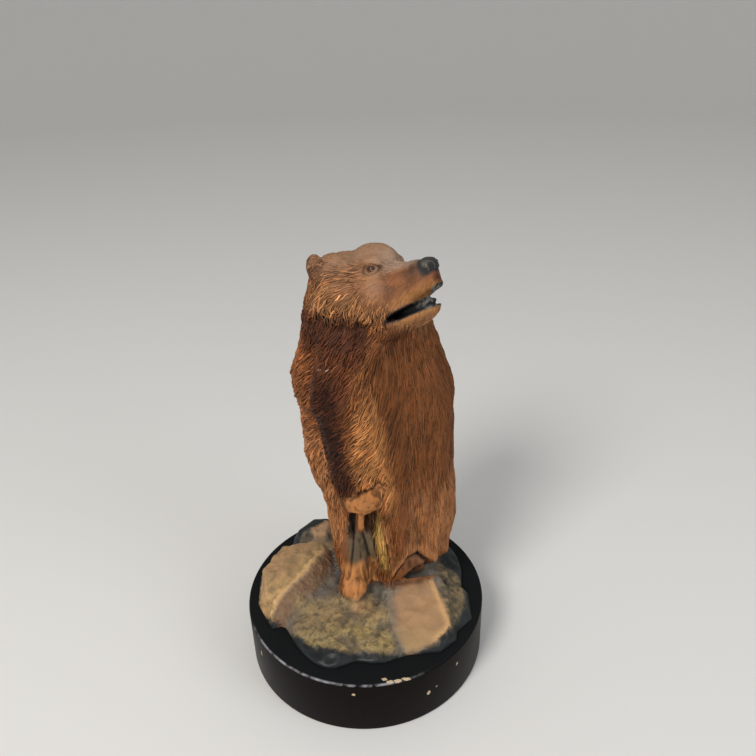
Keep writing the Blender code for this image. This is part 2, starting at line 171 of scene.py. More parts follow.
def colour_setting(name, description, default):
    return bpy.props.FloatVectorProperty(
        name=name, description=description, size=4, default=(*default, 1.0), min=0, max=1, subtype="COLOR",
    )


class CastingSettings(bpy.types.PropertyGroup):
    lock_width: length_setting("Lock width", "Width of one lock of the body's coat", 0.86, 0.2, 3)
    lock_length: length_setting("Lock length", "Length of one lock of the body's coat", 8.0, 2, 30)
    lock_height: length_setting("Lock height", "How far a lock of the body's coat rises", 0.40, 0.05, 2)
    body_locks: count_setting("Body locks", "Number of locks carved on the front of the body", 6600)
    back_locks: count_setting("Back locks", "Number of locks carved on the back of the body", 5200)
    head_locks: count_setting("Head locks", "Number of locks carved on the head", 6400)
    wash: number_setting("Wash", "How dark the wash lies in the grooves", 0.55, subtype="FACTOR")
    dry_brush: number_setting("Dry brush", "How light the crests are brushed", 0.30, subtype="FACTOR")


class PlinthSettings(bpy.types.PropertyGroup):
    edge_round: length_setting("Edge round", "Radius of the plinth's upper and lower edges", 1.3, 0.2, 4)
    # One black paint: the wall's brown tint and the top's lighter bluish tint are painted reflections of
    # the table and the room
    lacquer: colour_setting("Lacquer", "Colour of the lacquered wall", (0.0048, 0.0030, 0.0024))
    top: colour_setting("Top", "Colour of the matt top", (0.0085, 0.0095, 0.0105))
    # A painted highlight on the plinth's rounded upper edge, where it faces the light
    edge_highlight: colour_setting("Edge highlight", "Colour of the painted highlight on the upper edge", (0.30, 0.30, 0.33))
    bare_wood: colour_setting("Bare wood", "Colour under the chipped lacquer", (0.56, 0.44, 0.30))


class StageSettings(bpy.types.PropertyGroup):
    floor: colour_setting("Floor", "Colour of the floor and backdrop", (0.80, 0.80, 0.79))
    key_power: number_setting("Key light", "Power of the key light", 9.6, 100, unit="POWER")
    fill_power: number_setting("Fill light", "Power of the fill light", 2.2, 100, unit="POWER")
    sky: number_setting("Sky", "Strength of the even light from all sides", 0.42, 5)


def fade(value, width):
    """0 well below zero, 1 well above it, and smooth over the width."""
    t = np.clip(0.5 + value / (2 * width), 0, 1)
    return t * t * (3 - 2 * t)


def near(value, centre, width):
    return np.exp(-(((value - centre) / width) ** 2))


def noise(points, seed):
    """Smooth noise, between about -1 and 1, at each row of an (n, 3) array."""
    chance = np.random.default_rng(seed)
    order = np.tile(chance.permutation(256), 2)
    slopes = chance.normal(size=(256, 3))
    slopes /= np.linalg.norm(slopes, axis=1, keepdims=True)
    cell = np.floor(points).astype(np.int64)
    local = points - cell
    ease = local**3 * (local * (local * 6 - 15) + 10)
    total = np.zeros(len(points))
    for corner in product((0, 1), repeat=3):
        i, j, k = ((cell + corner) & 255).T
        slope = slopes[order[(order[(order[i] + j) & 255] + k) & 255]]
        weight = np.where(corner, ease, 1 - ease).prod(axis=1)
        total += weight * ((local - corner) * slope).sum(axis=1)
    return total * 1.5


def unit(vectors):
    return vectors / np.maximum(np.linalg.norm(vectors, axis=1, keepdims=True), 1e-9)


def head_matrix():
    """Head coordinates to the figure's millimetres."""
    return (
        Matrix.Translation(HEAD_CENTRE)
        @ Matrix.Rotation(HEAD_TURN, 4, "Z")
        @ Matrix.Rotation(-HEAD_LIFT, 4, "Y")
        @ Matrix.Rotation(HEAD_ROLL, 4, "X")
    )


def head_turn():
    return np.array(head_matrix().to_3x3())


def to_head(points):
    back = np.array(head_matrix().inverted())
    return points @ back[:3, :3].T + back[:3, 3]


AXIS_HEIGHTS = (SEAT, SEAT + 50, SEAT + 100, SEAT + 130, SEAT + 150)
AXIS_X = (10.0, 14.0, 8.5, 6.0, 3.0)
AXIS_Y = 10.0
CHEST_EDGE_HEIGHTS = (107, 127, 141, 153, 160, 168, 176)
CHEST_EDGE_ANGLES = (-87, -90, -92, -97, -90, -74, -66)
NOSE_PAD_X, NOSE_PAD_Z = (36, 38, 41, 43.5), (-5.2, -7.4, -7.8, -6.0)
TORN_X = (-9, -5, -1.4, 1.6, 5, 6.4, 7.6, 8.8, 10.1, 12)
TORN_HEIGHTS = (97, 99, 101.4, 102.6, 103.4, 106.8, 107.6, 105, 105.9, 101)
HEM_ANGLES = (-95, -85, -75, -61, -47, -30, -10)
HEM_HEIGHTS = (38, 46, 60, 61, 54, 44, 37)


class Regions:
    """Points of the casting in millimetres, with the regions that its coat and paint follow."""

    def __init__(self, points):
        self.points = points
        self.x, self.y, self.z = points.T
        self.head_points = to_head(points)
        self.hx, self.hy, self.hz = self.head_points.T
        axis = np.interp(self.z, AXIS_HEIGHTS, AXIS_X)
        self.angle = np.degrees(np.arctan2(self.y - AXIS_Y, self.x - axis))
        self.radius = np.hypot(self.x, self.y)
        wander = noise(points / 5.0, 11)
        self.above_ruff = self.hz + 19.9 + 0.417 * (self.hx - 14.6)
        self.head = fade(self.above_ruff + 2.6 * wander, 3.4) * fade(self.z - 164, 5)
        self.ruff = self.head * fade(9.5 - self.above_ruff, 5) * fade(24 - self.hx, 5)
        self.short = self.head * np.maximum(fade(self.hx - 17.5, 4.5), fade(self.hz - 0.5, 3.5))
        self.short *= 1 - 0.8 * fade(-15.5 - self.hz, 2) * fade(26 - self.hx, 4)
        self.short *= 1 - 0.85 * fade(3 - self.hx, 4)
        self.short *= 1 - 0.75 * fade(-22.5 + 0.3 * (self.hx - 32) - self.hz, 1.2) * fade(39 - self.hx, 2)
        across, along = np.abs((self.x - 12.5) / 28.5), np.abs((self.y - 10.5) / 21.5)
        footprint = (across**2.4 + along**2.4) ** (1 / 2.4)
        leg = np.hypot((self.x + 4.8) / 8.2, (self.y + 9) / 10.5)
        inside = np.maximum(fade(1.12 - footprint, 0.07), fade(1.1 - leg, 0.1))
        self.coat = np.maximum(fade(self.z - 52, 3), inside * fade(self.z - 41, 2.5))
        self.hem = np.interp(self.angle, HEM_ANGLES, HEM_HEIGHTS)
        self.at_hem = fade(self.angle + 88, 4) * fade(2 - self.angle, 8)
        self.edge_angle = np.interp(self.z, CHEST_EDGE_HEIGHTS, CHEST_EDGE_ANGLES)
        self.shoulder = fade(self.edge_angle - self.angle, 5) * fade(self.angle + 175, 8)
        self.shoulder *= fade(self.z - 104, 10)
        self.shoulder *= fade(178 - self.z, 6) * (1 - self.head)
        self.shoulder += (1 - self.head) * fade(self.angle - 150, 14) * fade(self.z - 120, 14)
        self.shoulder = np.clip(self.shoulder, 0, 1)
        self.chest = fade(self.angle + 90, 6) * fade(40 - self.angle, 20) * (1 - self.head)
        self.ear = fade(np.abs(self.hy) - 10, 1.5) * fade(self.hz + 2, 2) * fade(5 - self.hx, 2) * self.head
        self.mouth = self._mouth()
        pad = np.interp(self.hx, NOSE_PAD_X, NOSE_PAD_Z)
        self.nose = fade(self.hx - 37.6 + 0.35 * (self.hz + 4), 0.9) * fade(self.hz - pad, 0.8) * self.head

    def _mouth(self):
        """The dark inside of the mouth, with the lips' black line round it."""
        share = (self.hx - MOUTH_HINGE[0]) / (MOUTH_TIP[0] - MOUTH_HINGE[0])
        lower = MOUTH_HINGE[1] + share * (MOUTH_TIP[1] - MOUTH_HINGE[1])
        lower -= MOUTH_GAPE_IN + share * (MOUTH_GAPE_OUT - MOUTH_GAPE_IN)
        lip_x = (MOUTH_HINGE[0], LIP_BEND[0], LIP_TIP[0])
        upper = np.interp(self.hx, lip_x, (MOUTH_HINGE[1] + MOUTH_GAPE_IN, LIP_BEND[1], LIP_TIP[1]))
        inside = fade(upper + 0.5 - self.hz, 0.3) * fade(self.hz - lower + 0.9, 0.35)
        return inside * fade(self.hx - MOUTH_HINGE[0] + 0.3, 0.6) * fade(46 - self.hx, 1)

    def eye(self):
        """How far each point lies from the middle of an eye, and whether it is beside one."""
        away = np.hypot((self.hx - EYE[0]) / EYE_BREADTH, (self.hz - EYE[2]) / EYE_OPENING)
        return away, fade(np.abs(self.hy) - 5.8, 0.8) * self.head


def coat_flow(places, normals):
    """The way the hair lies at each point, as unit vectors along the surface."""
    turn = np.radians(places.angle)
    round_body = np.stack([np.sin(turn), -np.cos(turn), np.zeros(len(turn))], axis=1)
    front_left = fade(-places.angle - 60, 25) * fade(places.angle + 200, 20)
    lean = 34 * places.shoulder * fade(places.z - 112, 20)
    arm_side = 16 * front_left * fade(150 - places.z, 20) * fade(places.z - 84, 8)
    lean = lean + arm_side * fade(-70 - places.angle, 10)
    lean = lean - 9 * fade(places.angle + 50, 20) * fade(places.z - 100, 30)
    lean = lean + 9 * noise(places.points / (16, 16, 30), 21) + 5 * noise(places.points / (6, 6, 14), 22)
    body = round_body * np.tan(np.radians(lean))[:, None] + (0, 0, -1)
    fan = unit(places.head_points * (1, 0.9, 1) - MUZZLE_TIP)
    down = head_turn().T @ np.array((0, 0, -1.0))
    hang = 1.5 * fade(-9.5 - places.hz, 6) + 1.6 * fade(1 - places.hx, 7) * fade(6 - places.hz, 5)
    hang = hang + 1.5 * fade(-17.5 - places.hz, 3)
    head = fan + hang[:, None] * down
    wave = noise(places.head_points / (8, 5, 5), 23) * (0.15 + 0.85 * places.ruff)
    head = unit(head) @ head_turn().T
    side = np.cross(normals, head)
    head = head + side * (wave * 0.8)[:, None]
    flow = unit(body) * (1 - places.head)[:, None] + unit(head) * places.head[:, None]
    flow -= normals * (flow * normals).sum(axis=1, keepdims=True)
    return unit(flow)


FACE_BROWN = (0.215, 0.085, 0.034)
BRIDGE_GREY = (0.340, 0.235, 0.168)
FOREHEAD_TAN = (0.280, 0.163, 0.098)
LIP_GOLD = (0.330, 0.150, 0.048)
LID_PALE = (0.250, 0.160, 0.098)
CHEEK_ORANGE = (0.330, 0.155, 0.072)
CHEEK_RUST = (0.240, 0.085, 0.034)
RUFF_GOLD = (0.330, 0.148, 0.058)
EAR_BROWN = (0.245, 0.112, 0.050)
# Dark brown; also painted shade under the ruff, in the ear, round the eyes and on the upper lids
DARK_BROWN_AND_SHADE = (0.074, 0.023, 0.010)
SHOULDER_BROWN = (0.165, 0.050, 0.017)
RIM_TAN = (0.300, 0.110, 0.036)
# Near-black painted shade for the valley beside the shoulder
VALLEY_SHADE = (0.034, 0.010, 0.005)
GOLDEN_TAN = (0.450, 0.190, 0.062)
CHEST_BROWN = (0.165, 0.058, 0.017)
FLANK_BROWN = (0.168, 0.058, 0.019)
LOW_BROWN = (0.215, 0.076, 0.024)
LOW_TAN = (0.420, 0.185, 0.074)
HEM_PINK = (0.160, 0.072, 0.036)
PAW_ORANGE = (0.610, 0.240, 0.070)
TOE_ORANGE = (0.720, 0.300, 0.100)
SHIN_GREY = (0.150, 0.105, 0.060)
STRAND_OLIVE = (0.520, 0.300, 0.082)
# Near-black painted shade in hollows, grooves, crevices and under the hem
HOLLOW_SHADE = (0.016, 0.011, 0.008)
MOUTH_BLACK = (0.009, 0.010, 0.012)
NOSE_BLACK = (0.018, 0.018, 0.018)
NOSE_SATIN = (0.026, 0.026, 0.026)
NOSTRIL_RIM = (0.16, 0.14, 0.11)
TONGUE_GREY = (0.100, 0.100, 0.092)
ROCK_GREY = (0.190, 0.145, 0.105)
LEDGE_BLUE = (0.150, 0.140, 0.125)
SLAB_PINK = (0.400, 0.235, 0.122)
# Painted highlight on the rocks' ridges and edges
RIDGE_HIGHLIGHT = (0.640, 0.390, 0.175)
ROCK_OCHRE = (0.400, 0.265, 0.120)
ROCK_BROWN = (0.210, 0.120, 0.066)
MOSS_OLIVE = (0.235, 0.170, 0.088)
MOSS_YELLOW = (0.430, 0.320, 0.100)
MOSS_DARK = (0.085, 0.070, 0.045)
ROCK_SHADE = (0.085, 0.075, 0.060)
SKIRT_BLACK = (0.014, 0.017, 0.019)
SKIRT_RUB = (0.060, 0.058, 0.054)

# The line of the boulder's ridge, which is painted with a highlight, and the slab's outline as seen from
# above, in millimetres
RIDGE_FROM, RIDGE_TO, RIDGE_BOW = (-22.5, 11.3), (-40.3, -11.8), 2.0
SLAB_OUTLINE = ((10.2, -17.0), (18.5, -10.2), (31.0, -9.6), (35.0, -21.0), (38.5, -33.5), (30.0, -40.0),
                (16.0, -43.0), (12.0, -33.0))
# The slab's edge, raised and painted with a highlight
SLAB_EDGE = ((31.0, -10.5), (33.8, -22.0), (37.0, -33.0), (30.5, -38.0))
# The golden band down the edge of the chest: its middle and half its breadth, in degrees, at each height
GOLDEN_HEIGHTS = (95, 113, 130, 143, 156, 168, 180)
GOLDEN_ANGLES = (-102, -100.5, -100.5, -100, -100, -83, -76)
GOLDEN_HALVES = (15, 15, 12, 10, 8, 8, 9)
SKIRT_TURNS = (-180, -165, -145, -122, -107, -93, -78, -70, -52, -43, -18, 4, 10, 40, 90, 140, 160, 180)
SKIRT_RADII = (52, 51.5, 45, 43.8, 43.2, 41.8, 44.4, 45.8, 49.6, 50.0, 49.5, 45.5, 40, 37, 41, 45, 50, 52)


def lay(colours, colour, cover):
    """Brushes a colour over the others, as far as it covers at each point."""
    colours += (np.asarray(colour) - colours) * np.clip(cover, 0, 1)[:, None]


def inside_outline(places, corners):
    """How deep each point lies inside a convex outline seen from above, whose corners run clockwise."""
    depth = np.full(len(places.x), 99.0)
    for (ax, ay), (bx, by) in zip(corners, corners[1:] + corners[:1]):
        length = math.hypot(bx - ax, by - ay)
        side = (places.x - ax) * (by - ay) - (places.y - ay) * (bx - ax)
        depth = np.minimum(depth, side / length)
    return depth


def along_line(places, corners):
    """Distance of each point, seen from above, to the line through the corners."""
    away = np.full(len(places.x), 99.0)
    for (ax, ay), (bx, by) in zip(corners, corners[1:]):
        length = (bx - ax) ** 2 + (by - ay) ** 2
        share = np.clip(((places.x - ax) * (bx - ax) + (places.y - ay) * (by - ay)) / length, 0, 1)
        off_x, off_y = places.x - ax - share * (bx - ax), places.y - ay - share * (by - ay)
        away = np.minimum(away, np.hypot(off_x, off_y))
    return away


def boulder_places(places):
    """How far each point lies off the boulder's ridge and along it, and whether it is on the boulder."""
    run = (RIDGE_TO[0] - RIDGE_FROM[0], RIDGE_TO[1] - RIDGE_FROM[1])
    length = math.hypot(*run)
    away = ((places.x - RIDGE_FROM[0]) * -run[1] + (places.y - RIDGE_FROM[1]) * run[0]) / length
    share = ((places.x - RIDGE_FROM[0]) * run[0] + (places.y - RIDGE_FROM[1]) * run[1]) / length**2
    away = away - RIDGE_BOW * np.sin(math.pi * np.clip(share, 0, 1))
    boulder = fade(-16 - places.x, 3) * fade(places.y + 27 + 0.5 * (places.x + 40), 4)
    boulder = boulder * fade(27 - places.y, 4)
    return away, share, boulder


def paint_ground(places):
    """Colours of the rocks and the moss, and how far each point is black skirt."""
    p, count = places, len(places.x)
    broad, mid, fine = noise(p.points / 7, 31), noise(p.points / 2.4, 32), noise(p.points / 0.9, 33)
    colours = np.tile(np.array(ROCK_GREY), (count, 1))
    lay(colours, LEDGE_BLUE, fade(p.y + 16, 4) * fade(broad + 0.25, 0.4) * 0.8)
    away, share, boulder = boulder_places(p)
    lay(colours, ROCK_OCHRE, boulder * fade(1.0 - away, 1.2) * (0.94 + 0.1 * mid))
    lay(colours, SLAB_PINK, boulder * fade(-5 - away + 4 * broad, 3) * 0.7)
    lay(colours, MOSS_OLIVE, boulder * fade(-1 - away, 2) * near(broad, 0.25, 0.22) * 0.7)
    streaks = noise(p.points * (0.9, 0.9, 0.12), 34)
    lay(colours, ROCK_BROWN, boulder * fade(away - 2.2, 1) * (0.85 + 0.5 * streaks))
    lay(colours, LEDGE_BLUE, boulder * fade(away - 9.0, 2) * 0.8)
    # A painted highlight along the boulder's ridge and near its foot
    ridge = near(away + 1.3 * mid, 0.2, 1.7) * fade(share + 0.12, 0.1) * fade(1.2 + 0.5 * mid - share, 0.2)
    lay(colours, RIDGE_HIGHLIGHT, boulder * ridge * (0.7 + 0.4 * mid))
    foot = boulder * fade(share - 0.85, 0.15) * fade(mid + 0.1, 0.3) * fade(2 - away, 1)
    lay(colours, RIDGE_HIGHLIGHT, foot * 0.5)
    moss = fade(p.x + 33, 4) * fade(13 - p.x + 2 * broad, 3) * fade(-13 - p.y, 4)
    lay(colours, MOSS_OLIVE, moss * (0.85 + 0.4 * mid))
    front = fade(-29 - p.y, 4)
    specks = noise(p.points / 0.55, 35) + 0.6 * fine
    lay(colours, ROCK_OCHRE, moss * fade(broad - 0.1, 0.5) * (1 - front) * 0.40)
    bright = fade(specks + 0.9 * broad - 0.55 + 0.25 * front, 0.8)
    lay(colours, MOSS_YELLOW, moss * bright * (0.18 + 0.42 * front))
    lay(colours, MOSS_DARK, moss * fade(-0.25 - mid - 0.3 * fine, 0.2) * 0.6)
    lay(colours, SLAB_PINK, near(p.x + 3.5, 0, 3.4) * near(p.y, -19.5, 4.2) * 0.75)
    far_moss = fade(p.x - 35.5, 1.5) * fade(11 - p.y, 4)
    lay(colours, MOSS_DARK, far_moss * 0.95)
    lay(colours, MOSS_OLIVE, far_moss * fade(mid + 0.5 * fine - 0.05, 0.3) * 0.8)
    lay(colours, MOSS_YELLOW, far_moss * fade(fine + 0.6 * mid - 0.75, 0.12) * 0.5)
    deep = inside_outline(p, SLAB_OUTLINE)
    slab = fade(deep + 0.9 * mid, 1.7)
    lay(colours, SLAB_PINK, slab)
    cold_edge = near(deep, 0.5, 2.6) * fade(18 - p.x, 4) * fade(p.x - 6, 3)
    lay(colours, LEDGE_BLUE, cold_edge * (0.6 + 0.3 * mid))
    lay(colours, ROCK_OCHRE, slab * fade(-33 - p.y - 0.3 * (p.x - 20), 4) * fade(broad + 0.4, 0.4) * 0.6)
    lay(colours, ROCK_GREY, slab * fade(-0.10 - broad, 0.8) * 0.25)
    # A painted highlight along the slab's edge
    slab_edge = slab * near(along_line(p, SLAB_EDGE) + 0.8 * mid, 0, 1.6)
    lay(colours, RIDGE_HIGHLIGHT, slab_edge * (0.8 + 0.3 * mid))
    lay(colours, LEDGE_BLUE, fade(p.x - 4, 2) * fade(12 - p.x, 2) * near(p.y, -14, 5) * 0.8)
    lay(colours, LEDGE_BLUE, fade(p.x - 12, 3) * fade(40 - p.x, 3) * near(p.y, -5.5, 4) * 0.85)
    lay(colours, ROCK_SHADE, fade(-0.22 - broad, 0.25) * (1 - slab) * (1 - boulder) * 0.5)
    # Painted shade in the crevice between the foot and the boulder
    lay(colours, HOLLOW_SHADE, near(p.x + 12.5, 0, 2.2) * near(p.y, -3, 6) * 0.7)
    back = fade(p.y - 22, 6)
    lay(colours, SLAB_PINK, back * fade(broad - 0.1, 0.2) * fade(p.z - 36, 2) * 0.8)
    lay(colours, MOSS_DARK, back * fade(-0.05 - broad, 0.2) * 0.7)
    skirt = skirt_mask(p, mid, fine)
    lay(colours, SKIRT_BLACK, skirt)
    lay(colours, SKIRT_RUB, skirt * near(skirt, 0.75, 0.2) * fade(fine, 0.3) * 0.5)
    return colours, skirt


def skirt_mask(p, mid, fine):
    """Where the casting's rim is painted black: past a ragged line round the rocks."""
    turn = np.degrees(np.arctan2(p.y, p.x))
    line = np.interp(turn, SKIRT_TURNS, SKIRT_RADII)
    return fade(p.radius + 1.1 * mid + 1.1 * fine - line, 1.1)


def paint_coat(places):
    """Colours of the body's coat."""
    p = places
    broad, mid = noise(p.points / (9, 9, 24), 41), noise(p.points / (2.8, 2.8, 11), 42)
    colours = np.tile(np.array(FLANK_BROWN), (len(p.x), 1))
    lay(colours, CHEST_BROWN, fade(p.angle + 95, 6) * fade(-30 - p.angle, 16) * fade(p.z - 90, 12))
    lay(colours, LOW_BROWN, fade(92 - p.z, 10))
    belly = fade(96 - p.z, 12) * fade(p.angle + 74, 14) * fade(40 - p.angle, 30)
    lay(colours, LOW_TAN, belly * (0.65 + 0.6 * mid))
    # Lighter tan on the front-right side edge: painted light where that side catches the light
    lay(colours, RIM_TAN, near(p.angle, -40, 14) * fade(p.z - 95, 10) * fade(168 - p.z, 12) * 0.28)
    lay(colours, SHOULDER_BROWN, p.shoulder * fade(p.z - 100, 12))
    middle = np.interp(p.z, GOLDEN_HEIGHTS, GOLDEN_ANGLES)
    half = np.interp(p.z, GOLDEN_HEIGHTS, GOLDEN_HALVES)
    golden = fade(half + 4 * mid - np.abs(p.angle - middle), 4.5) * fade(p.z - 88, 8) * (1 - p.head)
    lay(colours, GOLDEN_TAN, golden * (0.36 + 0.5 * broad + 0.60 * fade(142 - p.z, 14)))
    # Painted shade: the valley beside the shoulder mass is painted near black
    valley = fade(14.5 - np.abs(p.angle + 129) + 3 * mid, 9) * fade(p.z - 95, 14) * fade(158 - p.z, 8)
    lay(colours, VALLEY_SHADE, valley * (0.92 + 0.3 * mid))
    rim = near(np.abs(p.angle), 168, 20) * fade(160 - p.z, 10) * fade(p.z - 56, 12)
    lay(colours, RIM_TAN, rim * (0.85 + 0.4 * mid))
    behind_arm = fade(-139 - p.angle, 7) * fade(p.angle + 178, 8)
    lay(colours, LOW_TAN, behind_arm * fade(122 - p.z, 6) * fade(p.z - 60, 8) * 0.6)
    # The neck under the overhanging ruff: dark paint and painted shade of the ruff
    lay(colours, DARK_BROWN_AND_SHADE, fade(p.z - 165, 7) * fade(-88 - p.angle, 8) * 0.95)
    lay(colours, DARK_BROWN_AND_SHADE, near(p.angle, -66, 11) * near(p.z, 176, 7) * 0.6)
    lay(colours, DARK_BROWN_AND_SHADE, fade(p.z - 171, 6) * fade(p.angle - 10, 20) * 0.7)
    back = fade(p.angle - 30, 20) * fade(165 - p.angle, 14)
    lay(colours, RIM_TAN, back * fade(broad - 0.05, 0.3) * 0.6)
    lay(colours, LOW_TAN, p.at_hem * near(p.z, p.hem + 5, 6) * 0.7)
    return paint_front(p, colours, mid)


def paint_front(places, colours, mid):
    """Colours of the paw's lobe, painted shade in its hollows and grooves, the shin and toe, the olive
    strand and the hem's shadow.
    """
    p = places
    front = fade(-6.5 - p.y, 2.5)
    edge = torn_edge(p)
    lobe = lobe_mask(p)
    lay(colours, PAW_ORANGE, lobe * (0.95 + 0.15 * mid))
    lay(colours, LOW_TAN, lobe * fade(0.1 - mid, 0.5) * 0.45)
    # Painted shade in the cavities under the torn edge
    cavities = near(edge - p.z, 0.5, 1.5) * front * fade(p.x + 4, 1) * fade(12 - p.x, 1)
    gaps = fade(0.42 - np.abs(p.x - 6.8) / 6, 0.3) + near(p.x, -1.2, 0.9) + near(p.x, 1.8, 0.8)
    lay(colours, HOLLOW_SHADE, cavities * np.clip(gaps, 0, 1) * 0.95)
    # Painted shade in the two hollows beside the tab
    hollow = hollow_mask(p)
    lay(colours, HOLLOW_SHADE, hollow * 0.97)
    shin = fade(6.2 - np.abs(p.x + 1.0), 1.2) * fade(74 - p.z, 2) * front * (1 - hollow)
    lay(colours, SHIN_GREY, shin * fade(p.z - 56, 3))
    strand_x = strand_offset(p)
    strand = near(strand_x, 0, 2.3) * fade(84 - p.z, 4) * fade(p.z - 50, 4) * front
    lay(colours, STRAND_OLIVE, strand)
    lay(colours, LOW_TAN, near(strand_x, 3.8, 1.2) * fade(80 - p.z, 4) * fade(p.z - 48, 3) * front * 0.5)
    # Painted shade in the grooves beside the strand and the shin
    lines = near(strand_x, -2.8, 0.6) + 0.7 * near(strand_x, 2.7, 0.4)
    lines = lines + near(p.x, -4.6 + 0.15 * (p.z - 68), 0.6) + near(p.x, 0.9 - 0.2 * (p.z - 66), 0.55)
    lay(colours, HOLLOW_SHADE, np.clip(lines, 0, 1) * near(p.z, 67, 9.5) * front * 0.85)
    toe = fade(7.6 - np.abs(p.x + 2.4), 1.5) * fade(58 + 1.8 * mid - p.z, 2.5) * front
    lay(colours, TOE_ORANGE, toe * (0.9 + 0.3 * mid))
    lay(colours, SHIN_GREY, toe * near(p.x, 0.5, 1.6) * near(p.z, 54, 3.5) * 0.6)
    # Under the hem the underside is pinkish brown and brown, darkened as the fold's painted shade; the
    # near-black line just below the hem is its painted shadow
    under = p.at_hem * fade(p.hem - 1.5 - p.z, 1.5)
    lay(colours, HEM_PINK, under * fade(p.x - 17, 4) * (0.75 + 0.35 * mid))
    lay(colours, LOW_BROWN, under * fade(18 - p.x, 4))
    lay(colours, HOLLOW_SHADE, p.at_hem * near(p.z, p.hem - 1.2, 1.5) * fade(p.x - 15, 3) * 0.9)
    return colours


def torn_edge(places):
    """Height of the torn lower edge of the arm's coat above the paw."""
    return np.interp(places.x, TORN_X, TORN_HEIGHTS)


def lobe_mask(places):
    """The smooth paw below the torn edge, with the tab that hangs from it."""
    p = places
    low = 88.5 + 0.22 * np.abs(p.x - 0.6) ** 1.5 + 1.6 * noise(p.points / 2.8, 74)
    lobe = fade(7.6 - np.abs(p.x - 0.6), 1.4) * fade(p.z - low, 1.6)
    tab = fade(2.6 - np.abs(p.x + 0.8), 0.6) * fade(p.z - 82, 1.5) * fade(-11 - p.y, 2)
    return np.maximum(lobe * fade(-7 - p.y, 2), tab) * fade(torn_edge(p) - p.z, 1.0)


def strand_offset(places):
    """How far each point lies beside the olive strand that hangs from the paw."""
    return places.x - 7.0 - 0.13 * (71 - places.z)


def hollow_mask(places):
    """The two hollows beside the tab that hangs from the paw."""
    p = places
    left = fade(1.7 - np.abs(p.x + 4.6 - 0.10 * (p.z - 80)), 0.5) * fade(p.z - 70, 2) * fade(90.5 - p.z, 2)
    right = fade(2.6 - np.abs(p.x - 3.6), 0.7) * fade(p.z - 72, 2) * fade(88.5 - p.z, 2)
    return np.maximum(left, right) * fade(-5.5 - p.y, 2)


def paint_head(places):
    p = places
    broad, mid, fine = (noise(p.head_points / size, seed) for size, seed in ((6, 51), (2.2, 53), (1.3, 52)))
    colours = np.tile(np.array(CHEEK_ORANGE), (len(p.x), 1))
    lay(colours, RUFF_GOLD, p.ruff)
    lay(colours, EAR_BROWN, fade(4 - p.hx, 6) * fade(p.hz + 5, 5) * 0.8)
    lay(colours, DARK_BROWN_AND_SHADE, p.ear * fade(-1.5 - p.hx + 1.5 * mid, 2) * 0.6)
    # Painted shade inside the ear
    lay(colours, DARK_BROWN_AND_SHADE, p.ear * near(p.hx, 1.2, 1.3) * near(p.hz, 1.6, 2.4) * 0.7)
    lay(colours, FOREHEAD_TAN, fade(p.hz - 1.0, 3.5) * fade(p.hx - 1, 8) * 0.9)
    lay(colours, FACE_BROWN, fade(p.hx - 24, 3) * fade(p.hz + 15.5, 2.5))
    lay(colours, BRIDGE_GREY, fade(p.hx - 23, 3) * fade(p.hz + 3.4 - 0.10 * (p.hx - 30), 1.5) * 0.85)
    lay(colours, LIP_GOLD, fade(p.hx - 29, 5) * near(p.hz, -13.4 + 0.30 * (p.hx - 36), 1.9) * 0.8)
    under_nose = fade(p.hx - 42.4, 0.7) * near(p.hz, -8.5, 3.2) * fade(3.6 - np.abs(p.hy), 1)
    lay(colours, DARK_BROWN_AND_SHADE, under_nose * 0.9)
    lay(colours, LIP_GOLD, fade(p.hx - 26, 5) * near(p.hz, -20.8 + 0.34 * (p.hx - 36), 2.4) * 0.8)
    lay(colours, BRIDGE_GREY, near(p.hx, 23.0, 3.6) * near(p.hz, -8.0, 3.6) * 0.45)
    # Darker brown below the eye: painted shade
    lay(colours, FACE_BROWN, near(p.hx, 23.5, 4.0) * near(p.hz, -8.5, 4.0) * 0.40)
    lay(colours, CHEEK_RUST, near(p.hx, 17.6, 3.0) * near(p.hz, -8.2, 2.4) * (0.55 + 0.5 * mid))
    lay(colours, CHEEK_RUST, near(p.hx, 28.5, 3.4) * near(p.hz, -6.6, 2.2) * 0.7)
    lay(colours, DARK_BROWN_AND_SHADE, fade(-2 - p.hx, 5) * fade(-6 - p.hz, 5) * 0.45)
    lay(colours, DARK_BROWN_AND_SHADE, fade(broad - 0.25, 0.2) * p.ruff * 0.35)
    eye, beside = p.eye()
    above = fade(p.hz - EYE[2] + 0.6, 1.2)
    lay(colours, LID_PALE, near(eye, 2.3, 0.8) * beside * 0.4)
    # Painted shade: a dark line in the fold above the eye, and the dark socket round the eyeball
    lay(colours, DARK_BROWN_AND_SHADE, near(eye, 1.95, 0.32) * beside * (0.02 + 0.95 * above))
    lay(colours, DARK_BROWN_AND_SHADE, fade(1.35 - eye, 0.2) * beside * 0.9)
    lay(colours, NOSE_BLACK, p.nose)
    smudge = near(p.hx, 36.0, 2.4) * near(p.hz, -4.6, 3.2)
    lay(colours, NOSE_BLACK, smudge * (0.75 + 0.3 * mid))
    lay(colours, MOUTH_BLACK, p.mouth)
    tongue = fade(p.hx - 34, 2) * fade(4.6 - np.abs(p.hy), 0.8)
    lay(colours, TONGUE_GREY, p.mouth * tongue * fade(fine - 0.05, 0.2))
    return colours


def paint_casting(points):
    """Colour of the casting at each point, how far it is glossy black skirt, and its regions."""
    places = Regions(points)
    colours, skirt = paint_ground(places)
    lay_all(colours, paint_coat(places), places.coat)
    lay_all(colours, paint_head(places), places.head)
    return colours, skirt * (1 - places.coat), places


def lay_all(colours, others, cover):
    colours += (others - colours) * cover[:, None]


def select_only(*things):
    for thing in bpy.context.selected_objects:
        thing.select_set(False)
    for thing in things:
        thing.select_set(True)
    bpy.context.view_layer.objects.active = things[0]


